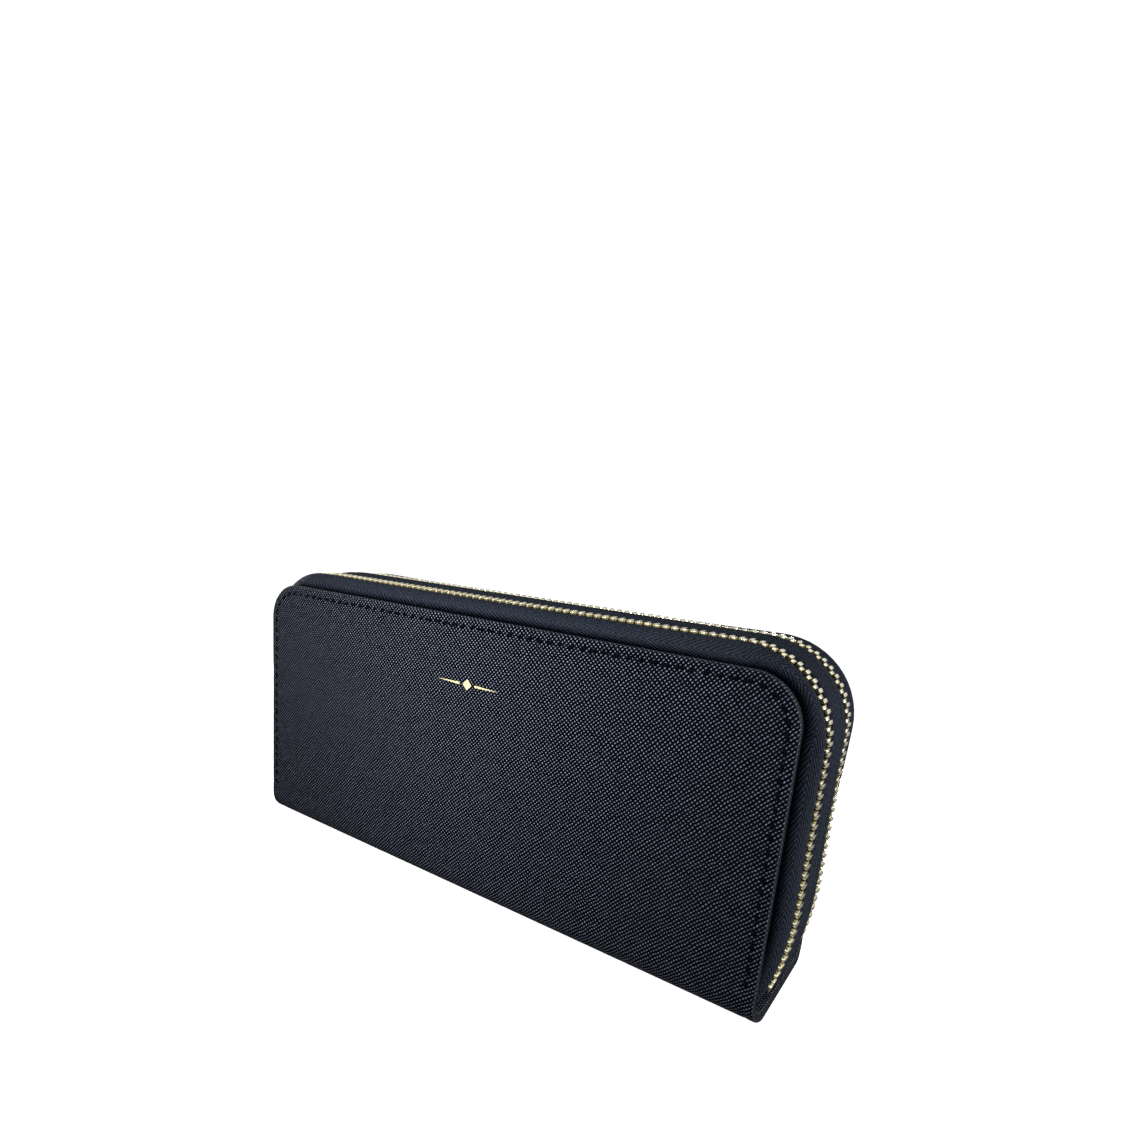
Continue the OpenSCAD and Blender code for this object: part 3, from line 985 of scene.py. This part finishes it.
def make_outer_tape(side):
    """The outer half's tape, swelling from under the cover's edge up to the teeth."""

    def y_at(s, z):
        inner = shell_inner_y(z) + TAPE_CLEAR
        return inner + (-ZIP_Y - TAPE_EDGE - inner) * s

    def bulge_at(s, t):
        swell = TAPE_SWELL + TAPE_CORNER_SWELL * corner_share(t)
        return swell * sin(pi * s) * (1 - s)

    start = (inset(COVER_EDGE, TAPE_TUCK)[:3] + (BEND_Z,), ZIP_LOW_Z)
    end = (inset(ZIP_EDGE, CREST_DEPTH), ZIP_LOW_Z)
    part = sheet_part(loft(start, end, 16, y_at, bulge_at), TAPE_T)
    # Lengths across the tape start where it comes out from under the cover's edge, so that its painted
    # shade lies along that edge
    part.uvs = [(u, v - TAPE_HIDDEN) for u, v in part.uvs]
    tape = part.make(f"{side}_outer_zip_tape", "zip_tape", [f"{side}_outer_tape"], side)
    blend_to_cover(tape, side, ZIP_ENDS)


def make_inner_tape(side):
    """The inner half's tape, which rises over the divider and meets the other zip's tape."""

    def y_at(s, z):
        return -ZIP_Y + TAPE_EDGE + (ZIP_Y - TAPE_EDGE - INNER_TAPE_CLEAR) * s

    def bulge_at(s, t):
        return INNER_TAPE_RISE * (1 - (1 - s) ** 2.5) - INNER_TAPE_DIP * s ** 24

    edge = (inset(ZIP_EDGE, CREST_DEPTH), ZIP_LOW_Z)
    part = sheet_part(loft(edge, edge, 14, y_at, bulge_at), TAPE_T)
    part.make(f"{side}_inner_zip_tape", "zip_tape", [f"{side}_inner_tape"], side, rides="root")


TOOTH_L = 1.2 * MM
TOOTH_T = 2.5 * MM
TOOTH_ROOT = 2.6 * MM
TOOTH_REACH = 0.45 * MM
# Root, head and tip: the share of the length where each ends, then its width and thickness
TOOTH_SHAPE = ((0.5, 0.78, 1.0), (0.9, 1.0, 0.96), (1.1, 0.8, 0.88))
TOOTH_ROOT_BEVEL = 0.42 * MM
TOOTH_BEVEL = 0.16 * MM
TOOTH_WELD = 0.002 * MM


def tooth():
    """One tooth: X along the zip, Y from its root to its head, Z out of the wallet, crest at 0."""
    bm = bmesh.new()
    bmesh.ops.create_cube(bm, size=1)
    lengthwise = [e for e in bm.edges if abs((e.verts[0].co - e.verts[1].co).y) > 0.5]
    bmesh.ops.subdivide_edges(bm, edges=lengthwise, cuts=2)
    for v in bm.verts:
        share = v.co.y + 0.5
        wide, thick = next(shape[1:] for shape in TOOTH_SHAPE if share < shape[0])
        v.co.x *= TOOTH_L * wide
        v.co.z *= TOOTH_T * thick
        v.co.y = -TOOTH_ROOT + (TOOTH_ROOT + TOOTH_REACH) * share
        v.co.z -= TOOTH_T / 2
    root = [e for e in bm.edges if max(v.co.y for v in e.verts) < -0.99 * TOOTH_ROOT]
    bevel_edges(bm, root, TOOTH_ROOT_BEVEL, 4)
    edges = [e for e in bm.edges if e.calc_face_angle() > radians(40)]
    bevel_edges(bm, edges, TOOTH_BEVEL, 2, profile=0.6)
    bmesh.ops.remove_doubles(bm, verts=bm.verts[:], dist=TOOTH_WELD)
    bmesh.ops.dissolve_degenerate(bm, edges=bm.edges[:], dist=TOOTH_WELD)
    face_outwards(bm)
    bm.verts.index_update()
    return solid_from(bm)


TOOTH = tooth()
TEETH_LOW_Z = 7.5 * MM
TEETH_SLIDER_Z = slider_hi.z + 1 * MM


def make_zip_row(part, kind, row, side, sharp):
    """One half's metal; the inner stays at the spine."""
    rides = "root" if row == "inner" else None
    name, nodes = f"{side}_{row}_zip_{kind}", [f"{side}_{row}_{kind}"]
    metal = part.make(name, "zip_metal", nodes, side, sharp, rides)
    if row == "outer":
        blend_to_cover(metal, side, ZIP_ENDS)


def make_teeth(side):
    """Both rows of teeth, from the slider round to the right end; the inner row faces the outer."""
    base, faces = TOOTH
    first = -floor(edge_length(ZIP_EDGE, TEETH_SLIDER_Z) / TOOTH_PITCH)
    last = floor(edge_length(ZIP_EDGE, TEETH_LOW_Z) / TOOTH_PITCH) - 1
    for row, shift, towards in (("outer", 0, 1.0), ("inner", TOOTH_PITCH / 2, -1.0)):
        part = Part()
        turned = faces if towards > 0 else mirror_faces(faces)
        for i in range(first, last + 1):
            placed = along_edge(ZIP_EDGE, i * TOOTH_PITCH + shift, -ZIP_Y, base, towards)
            part.add(placed, turned, base[:, :2])
        make_zip_row(part, "teeth", row, side, TOOTH_SHARP)


STOP_L = 2 * MM
STOP_BEVEL = 0.35 * MM
STOP_BELOW_SLIDER = 6.5 * MM
STOP_RISE = 1.4 * MM


def rounded_block(size, bevel):
    bm = bmesh.new()
    bmesh.ops.create_cube(bm, size=1)
    bmesh.ops.scale(bm, vec=size, verts=bm.verts[:])
    bevel_edges(bm, bm.edges[:], bevel, 3)
    bm.verts.index_update()
    return solid_from(bm)


def make_stops(side):
    """Crimped metal stops at both ends of each row."""
    for row in ("outer", "inner"):
        lo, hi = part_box(f"front_{row}_stops")
        base, faces = rounded_block((STOP_L, hi.y - lo.y, TOOTH_T), STOP_BEVEL)
        base = base - (0, 0, TOOTH_T / 2)
        left = -edge_length(ZIP_EDGE, slider_lo.z - STOP_BELOW_SLIDER)
        right = edge_length(ZIP_EDGE, lo.z + STOP_RISE)
        part = Part()
        for s in (left, right):
            part.add(along_edge(ZIP_EDGE, s, (lo.y + hi.y) / 2, base), faces, base[:, :2])
        make_zip_row(part, "stops", row, side, SHEET_SHARP)


# ---- Sliders and pulls, in the frame that part.scad gives them, in millimetres ----

SLIDER_L = 11.0
NOSE_HALF = 4.3
TAIL_HALF = 3.6
PLATE_GAP = 0.4
PIN_Z = 2.3
BAR_Z = 3.6


def rounded_loop(corners, radius, steps=4):
    """A closed outline with its corners rounded."""
    out = []
    count = len(corners)
    for i in range(count):
        here = Vector(corners[i])
        before = (Vector(corners[i - 1]) - here).normalized() * radius
        after = (Vector(corners[(i + 1) % count]) - here).normalized() * radius
        for k in range(steps + 1):
            t = k / steps
            p = (1 - t) ** 2 * (here + before) + 2 * t * (1 - t) * here + t ** 2 * (here + after)
            out.append((p.x, p.y))
    return out


def slider_outline():
    end, nose, tail = SLIDER_L / 2, NOSE_HALF, TAIL_HALF
    half = [(end, nose - 1.6), (end - 2.2, nose), (1.2 - end, tail), (-end, tail - 0.9)]
    return rounded_loop(half + [(x, -y) for x, y in reversed(half)], 0.6)


def add_bm(part, bm, transform=None):
    points, faces = solid_from(bm)
    if transform is not None:
        points = np.array([transform @ Vector(p) for p in points])
    part.add(points, faces, points[:, :2] * MM)


OUTER_PLATE_Z = PLATE_GAP + 1.0
INNER_PLATE_T = 0.8
INNER_PLATE_Z = -TOOTH_T / MM - PLATE_GAP
# The bail from the side: one foot with the corner inside it, then the outside of its top
BAIL_HALF = ((3.7, 1.3), (2.6, 1.3), (2.35, 3.1))
BAIL_TOP = ((3.1, 3.5), (2.3, 4.0), (-2.3, 4.0), (-3.1, 3.5))


def slider_solids(part):
    """Two plates with side flanges, and the bail that the pull hangs on."""
    outline = slider_outline()
    add_bm(part, extrude_outline(outline, PLATE_GAP, OUTER_PLATE_Z, bevel=0.3, segments=3))
    add_bm(part, extrude_outline(outline, INNER_PLATE_Z - INNER_PLATE_T, INNER_PLATE_Z, bevel=0.25))
    for side in (-1, 1):
        half = [(-4.6, TAIL_HALF - 0.8), (-4.6, TAIL_HALF - 0.05), (3.0, NOSE_HALF - 0.1),
                (3.6, NOSE_HALF - 0.35), (3.6, NOSE_HALF - 0.9)]
        flange = [(x, side * y) for x, y in half]
        add_bm(part, extrude_outline(flange, -0.7, PLATE_GAP + 0.2, bevel=0.12, segments=1))
        add_bm(part, extrude_outline(flange, INNER_PLATE_Z - 0.2, -1.8, bevel=0.12, segments=1))
    arch = [(-x, z) for x, z in BAIL_HALF] + list(reversed(BAIL_HALF)) + list(BAIL_TOP)
    upright = Matrix.Rotation(QUARTER, 4, "X")
    add_bm(part, extrude_outline(arch, -0.6, 0.6, bevel=0.18), upright)


def round_end(centre, radius, count):
    """Points of a half circle that closes a plate's +X end, from -Y to +Y."""
    return [(centre + radius * sin(a), -radius * cos(a)) for a in np.linspace(0, pi, count)]


PIN_R = 0.55
PIN_L = 4.0
PULL_TIP = 22.0
PULL_HALF = 3.0
PULL_HALF_T = 0.5
PULL_HOLE_R = 1.2
# Half of the pull's outline from the slot between its arms, out and along its side
PULL_SIDE = ((4.4, -1.0), (-0.6, -1.0), (-0.6, -2.0), (3.8, -2.05), (6.2, -PULL_HALF))


def pull_solids(part):
    """A flat pull with two arms and a cross pin."""
    pin = Matrix.Translation((0, 0, PIN_Z))
    bm = bmesh.new()
    bmesh.ops.create_cone(bm, cap_ends=True, segments=20, radius1=PIN_R, radius2=PIN_R, depth=PIN_L)
    bm.verts.index_update()
    add_bm(part, bm, pin @ Matrix.Rotation(QUARTER, 4, "X"))
    centre = PULL_TIP - PULL_HALF
    other = [(x, -y) for x, y in reversed(PULL_SIDE)]
    outline = [*other[2:], *PULL_SIDE, *round_end(centre, PULL_HALF, 13), *other[:2]]
    hole = (centre, 0, PULL_HOLE_R)
    bm = extrude_outline(outline, -PULL_HALF_T, PULL_HALF_T, 0.22, hole, segments=3)
    add_bm(part, bm, pin)


def tube_ring(centres, radius, around=12):
    """A closed wire through a loop of centres in the YZ plane."""
    points = []
    side = Vector((1, 0, 0))
    for i, (y, z) in enumerate(centres):
        before, after = centres[i - 1], centres[(i + 1) % len(centres)]
        along = Vector((0, after[0] - before[0], after[1] - before[1])).normalized()
        out = side.cross(along)
        for k in range(around):
            a = 2 * pi * k / around
            points.append(Vector((0, y, z)) + side * radius * cos(a) + out * radius * sin(a))
    return np.array([p[:] for p in points]), mirror_faces(tube_faces(len(centres), around, True))


LINK_R = 1.35
LINK_L = 5.0
LINK_WIRE_R = 0.35
TAB_END = 17.0
TAB_HALF = 2.0


def hanging_pull_solids(part):
    """A wire link round the bail's bar and a small tab that hangs from it, towards -Y."""
    loop = [(LINK_R * cos(a), LINK_R * sin(a)) for a in np.linspace(0, pi, 13)]
    centres = [(c[1], BAR_Z + c[0]) for c in loop]
    centres += [(-LINK_L - c[1], BAR_Z - c[0]) for c in loop]
    points, faces = tube_ring(centres, LINK_WIRE_R)
    part.add(points, faces, points[:, :2] * MM)
    hang = Matrix.Translation((0, 0, BAR_Z)) @ Matrix.Rotation(-QUARTER, 4, "Z")
    start = LINK_L + LINK_R - LINK_WIRE_R
    outline = [(start, -1.2), (start + 1.5, -TAB_HALF), *round_end(TAB_END, TAB_HALF, 11),
               (start + 1.5, TAB_HALF), (start, 1.2)]
    add_bm(part, extrude_outline(outline, -PULL_HALF_T, PULL_HALF_T, bevel=0.2), hang)


def main_zip_place(side):
    """Matrix from a main slider's own frame, in millimetres, to its place on the left side."""
    turn = Matrix(((0, 0, -1), (0, -1, 0), (-1, 0, 0))).to_4x4()
    place = Matrix.Translation((-ZIP_HALF, -ZIP_Y, SLIDER_Z)) @ turn @ Matrix.Scale(MM, 4)
    if side == "rear":
        place = Matrix.Scale(-1, 4, (0, 1, 0)) @ place
    return place


def coin_zip_place():
    lo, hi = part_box("coin_slider")
    crest_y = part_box("coin_upper_teeth")[1].y
    turn = Matrix(((-1, 0, 0), (0, 0, 1), (0, 1, 0))).to_4x4()
    place = Matrix.Translation(((lo.x + hi.x) / 2, crest_y, (lo.z + hi.z) / 2))
    return place @ turn @ Matrix.Scale(MM * COIN_SCALE, 4)


def make_fitting(name, solids, place, node):
    part = Part()
    solids(part)
    part.points = [place @ Vector(p) for p in part.points]
    if place.determinant() < 0:
        part.faces = mirror_faces(part.faces)
    part.make(name, "zip_metal", [node], sharp=FITTING_SHARP, rides=node)


def make_sliders():
    for side in ("front", "rear"):
        make_fitting(f"{side}_zip_slider", slider_solids, main_zip_place(side), f"{side}_slider")
        make_fitting(f"{side}_zip_pull", pull_solids, main_zip_place(side), f"{side}_pull")
    make_fitting("coin_zip_slider", slider_solids, coin_zip_place(), "coin_slider")
    make_fitting("coin_zip_pull", hanging_pull_solids, coin_zip_place(), "coin_pull")


# ---- Linings and divider ----

LINING_GAP = 0.35 * MM


def edge_half_width(edge, z):
    """Half width of a rounded outline at height z."""
    half, top, radius, bend_z = edge
    if z > top - radius:
        rise = min(z - (top - radius), radius)
        return half - radius + sqrt(max(radius ** 2 - rise ** 2, 0))
    if z < bend_z:
        return half - BEND_R + sqrt(BEND_R ** 2 - (bend_z - z) ** 2)
    return half


def heights(low, high, radius, straight, turned):
    """Heights up to a rounded top, closer together round its corners."""
    rows = list(np.linspace(low, high - radius, straight))
    rows += [high - radius * (1 - sin(a)) for a in np.linspace(0, QUARTER, turned)[1:]]
    return rows


def plate_grid(edge, low_z, y, columns=31, straight=14, turned=10):
    """Grid over a rounded outline in a plane of constant y, facing -Y."""
    rows = heights(low_z, edge[1], edge[2], straight, turned)
    shares = np.linspace(-1, 1, columns)
    return [[(s * edge_half_width(edge, z), y, z) for z in rows] for s in shares]


LINING_INSET = 2.5 * MM
LINING_T = 0.3 * MM
LINING_FOOT_Y = 1.4 * MM
DIVIDER_LINING_INSET = 1.7 * MM
DIVIDER_LINING_LOW_Z = 3.2 * MM
DIVIDER_LINING_T = 0.45 * MM


def make_cover_lining(side):
    """Lining cloth from the divider's foot, round the inside of the fold and up the cover."""
    edge = (HALF_W - LINING_INSET, V_TOP - LINING_INSET, CORNER_R - LINING_INSET, 0)
    rows = list(np.linspace(LINING_FOOT_Y, FOLD_Y, 6)[:-1])
    rows += list(np.linspace(FOLD_Y, FOLD_Y + FOLD_L, 13)[:-1])
    rows += heights(FOLD_Y + FOLD_L, edge[1], edge[2], 16, 8)
    grid = [[wrap(s * edge_half_width(edge, v), v, SHELL_T + LINING_GAP) for v in rows]
            for s in np.linspace(1, -1, 35)]
    nodes = [f"{side}_lining"] + ([] if side == "rear" else ["spine_lining"])
    lining = sheet_part(grid, LINING_T).make(f"{side}_cover_lining", "lining", nodes, side)
    blend_to_cover(lining, side, FOLD_ENDS)


def make_divider_lining(side):
    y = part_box("divider_front_lining")[0].y
    grid = plate_grid(inset(ZIP_EDGE, DIVIDER_LINING_INSET), DIVIDER_LINING_LOW_Z, y)
    part = sheet_part(grid, DIVIDER_LINING_T)
    part.make(f"{side}_divider_lining", "lining", [f"divider_{side}_lining"], side, rides="root")


# ---- Pockets ----

FLAP_GAP = 0.05 * MM
FLAP_T = 0.45 * MM
FLAP_ROLL = 0.12 * MM
FLAP_ROLL_H = 1.0 * MM
FLAP_SWELL = 0.12 * MM
FLAP_ROWS = 4
FLAP_STEP = 11 * MM
FLAP_COLUMN_GAP = 1.5 * MM
NOTE_POCKET_SWELL = 0.3 * MM


def across_share(x, x_low, x_high):
    """1 over most of a width, falling to 0 at its two ends."""
    return 1 - (2 * (x - x_low) / (x_high - x_low) - 1) ** 4


def flap_grid(x_low, x_high, z_low, z_high, y, swell, columns=25, rows=16):
    """A pocket flap facing -Y: slightly full in the middle, with a rolled top edge."""
    grid = []
    for x in np.linspace(x_low, x_high, columns):
        across = across_share(x, x_low, x_high)
        column = []
        for z in np.linspace(z_low, z_high, rows):
            up = (z - z_low) / (z_high - z_low)
            column.append((x, y - swell * across * sin(up * QUARTER) ** 2, z))
        column.insert(-1, (x, column[-1][1] - FLAP_ROLL, z_high - FLAP_ROLL_H))
        grid.append(column)
    return grid


def make_card_flaps(side):
    """Two columns of stepped card pockets inside a cover."""
    lo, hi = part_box("front_card_flaps")
    layer = (hi.y - lo.y) / FLAP_ROWS
    part = Part()
    for x_low, x_high in ((lo.x, -FLAP_COLUMN_GAP), (FLAP_COLUMN_GAP, hi.x)):
        for k in range(FLAP_ROWS):
            y = -(DEPTH - SHELL_T - LINING_GAP - FLAP_GAP - (k + 1) * layer)
            top = hi.z - k * FLAP_STEP
            add_sheet(part, flap_grid(x_low, x_high, lo.z, top, y, FLAP_SWELL), FLAP_T)
    part.make(f"{side}_card_pockets", "pocket_leatherette", [f"{side}_card_flaps"], side,
              rides=f"{side}_cover")


def make_note_pocket():
    lo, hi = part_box("note_pocket")
    y = lo.y - FLAP_GAP
    grid = flap_grid(lo.x, hi.x, lo.z, hi.z, y, NOTE_POCKET_SWELL, columns=41)
    part = sheet_part(grid, FLAP_T)
    part.make("note_slip_pocket", "pocket_leatherette", ["note_pocket"], rides="root")


def rear_facing_grid(lo, hi, z_high, rows, swell=0.0, columns=41):
    """A grid over a box's +Y face up to z_high, full in its middle."""
    grid = []
    for x in np.linspace(hi.x, lo.x, columns):
        across = swell * across_share(x, lo.x, hi.x)
        grid.append([(x, hi.y + across * sin(pi * (z - lo.z) / (z_high - lo.z)), z)
                     for z in np.linspace(lo.z, z_high, rows)])
    return grid


POUCH_WALL = 0.5 * MM
POUCH_SWELL = 0.35 * MM
POUCH_MOUTH_RISE = 2 * MM
FACING_SWELL = 0.1 * MM


def level_grid(lo, hi, z, depths):
    """A level grid between a pouch's side walls, facing up where its depths rise."""
    return [[(x, y, z) for y in depths]
            for x in np.linspace(lo.x + POUCH_WALL, hi.x - POUCH_WALL, 21)]


def make_coin_pouch():
    """The coin pocket's pouch: its face below the zip, its two sides and its floor."""
    lo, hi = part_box("coin_pocket")
    mouth_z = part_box("coin_lower_tape")[0].z + POUCH_MOUTH_RISE
    inner_y = hi.y - POUCH_WALL
    part = sheet_part(rear_facing_grid(lo, hi, mouth_z, 14, POUCH_SWELL), POUCH_WALL)
    heights_down = np.linspace(hi.z, lo.z, 12)
    for x, depths in ((lo.x, np.linspace(lo.y, inner_y, 5)), (hi.x, np.linspace(inner_y, lo.y, 5))):
        add_sheet(part, [[(x, y, z) for z in heights_down] for y in depths], POUCH_WALL)
    add_sheet(part, level_grid(lo, hi, lo.z, np.linspace(inner_y, lo.y, 4)), POUCH_WALL)
    part.make("coin_pocket_pouch", "lining", ["coin_pocket"], rides="root")


def make_coin_facing():
    """The leather above the coin zip, with the pouch's top."""
    lo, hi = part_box("coin_facing")
    part = sheet_part(rear_facing_grid(lo, hi, hi.z, 6, FACING_SWELL), POUCH_WALL)
    depths = np.linspace(lo.y, hi.y - POUCH_WALL, 4)
    add_sheet(part, level_grid(lo, hi, hi.z, depths), POUCH_WALL)
    part.make("coin_pocket_facing", "pocket_leatherette", ["coin_facing"], rides="root")


COIN_TAPE_T = 0.4 * MM
COIN_STOP_BEVEL = 0.25 * MM


def make_coin_tape(row):
    lo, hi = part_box(f"coin_{row}_tape")
    part = sheet_part(rear_facing_grid(lo, hi, hi.z, 6), COIN_TAPE_T)
    part.make(f"coin_{row}_zip_tape", "zip_tape", [f"coin_{row}_tape"], rides="root")


def make_coin_teeth(row, sign):
    lo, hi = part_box(f"coin_{row}_teeth")
    base, faces = TOOTH
    base = base * COIN_SCALE
    upright = np.stack([base[:, 0], base[:, 2], -sign * base[:, 1]], 1)
    turned = mirror_faces(faces) if sign < 0 else faces
    pitch = TOOTH_PITCH * COIN_SCALE
    first = lo.x + TOOTH_L * COIN_SCALE / 2
    middle_z = sum(corner.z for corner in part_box("coin_slider")) / 2
    part = Part()
    for i in range(round((hi.x - lo.x) / pitch)):
        part.add(upright + (first + i * pitch, hi.y, middle_z), turned, base[:, :2])
    part.make(f"coin_{row}_zip_teeth", "zip_metal", [f"coin_{row}_teeth"], sharp=TOOTH_SHARP,
              rides="root")


def make_coin_stops():
    lo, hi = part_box("coin_stops")
    size = (STOP_L * COIN_SCALE, hi.y - lo.y, hi.z - lo.z)
    base, faces = rounded_block(size, COIN_STOP_BEVEL)
    part = Part()
    for x in (lo.x + size[0] / 2, hi.x - size[0] / 2):
        part.add(base + (x, (lo.y + hi.y) / 2, (lo.z + hi.z) / 2), faces, base[:, :2])
    part.make("coin_zip_stops", "zip_metal", ["coin_stops"], rides="root")


def make_coin_purse():
    make_coin_pouch()
    make_coin_facing()
    for row, sign in (("upper", 1), ("lower", -1)):
        make_coin_tape(row)
        make_coin_teeth(row, sign)
    make_coin_stops()


# ---- Gussets ----

PLEAT_OUT_X = 94 * MM
PLEAT_NEAR_Y = 1.5 * MM
PLEAT_FAR_Y = 20.9 * MM
PLEAT_LOW_Z = 5 * MM
PLEAT_TOP_Z = 82 * MM
PLEAT_DEPTH = 11.5 * MM
PLEAT_LOW_DEPTH = 1.5 * MM
PLEATS = 2
PLEAT_STEPS = 32
# A little under 1, which rounds the folds
PLEAT_FOLD = 0.985


def gusset_grid():
    """The front right fan, from near the divider to near the cover."""
    grid = []
    for z in np.linspace(PLEAT_LOW_Z, PLEAT_TOP_Z, 30):
        rise = (z - PLEAT_LOW_Z) / (PLEAT_TOP_Z - PLEAT_LOW_Z)
        depth = PLEAT_LOW_DEPTH + (PLEAT_DEPTH - PLEAT_LOW_DEPTH) * rise
        row = []
        for k in range(PLEAT_STEPS + 1):
            s = k / PLEAT_STEPS
            fold = acos(PLEAT_FOLD * cos(2 * pi * PLEATS * s)) / pi
            x = PLEAT_OUT_X - depth * fold
            row.append((x, -PLEAT_NEAR_Y - (PLEAT_FAR_Y - PLEAT_NEAR_Y) * s, z))
        grid.append(row)
    return np.array(grid)


def make_gusset(side, end):
    """A cloth fan with two pleats that taper towards the spine."""
    grid = gusset_grid()
    if end == "left":
        grid = (grid * (-1, 1, 1))[::-1]
    name, nodes = f"{side}_{end}_pleated_gusset", [f"{side}_{end}_gusset"]
    gusset = sheet_part(grid, LINING_T).make(name, "lining", nodes, side, PLEAT_SHARP)
    blend_to_cover(gusset, side, ((0, -PLEAT_NEAR_Y, 0), (0, -PLEAT_FAR_Y, 0)))
    widths = running_length(grid, 1)[:, -1]


# ---- Foil ornament ----

FOIL_PROUD = 0.03 * MM
FOIL_HALF_T = 0.05 * MM
FOIL_BEVEL = 0.02 * MM
RAY_START = 3.0 * MM
RAY_HALF = 0.35 * MM


def make_foil():
    """A small plain lozenge with a tapered ray on each side of it."""
    lo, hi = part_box("foil_ornament")
    middle_z = (lo.z + hi.z) / 2
    proud = DEPTH + cover_bulge(0, V_TOP - (TOP - middle_z)) + FOIL_PROUD
    upright = Matrix.Translation((0, -proud, middle_z)) @ Matrix.Rotation(QUARTER, 4, "X")
    half = (hi.z - lo.z) / 2
    shapes = [[(half, 0), (0, half), (-half, 0), (0, -half)]]
    for sign in (-1, 1):
        near = RAY_START * sign
        shapes.append([(near, -RAY_HALF), (hi.x * sign, 0), (near, RAY_HALF)])
    part = Part()
    for shape in shapes:
        bm = extrude_outline(shape, -FOIL_HALF_T, FOIL_HALF_T, FOIL_BEVEL, segments=1)
        add_bm(part, bm, upright)
    part.uvs = [(0, 0)] * len(part.points)
    part.make("foil_lozenge", "foil", ["foil_ornament"], sharp=FOIL_SHARP, rides="front_cover")


# ---- Scene ----


def main():
    make_camera()
    make_world()
    make_lights()
    make_floor(make_floor_material())
    dress_cad_nodes()
    for side in ("front", "rear"):
        make_shell(side)
        make_stitching(side)
        make_cover_lining(side)
        make_divider_lining(side)
        make_outer_tape(side)
        make_inner_tape(side)
        make_teeth(side)
        make_stops(side)
        make_card_flaps(side)
        make_gusset(side, "left")
        make_gusset(side, "right")
    make_note_pocket()
    make_coin_purse()
    make_sliders()
    make_foil()


main()
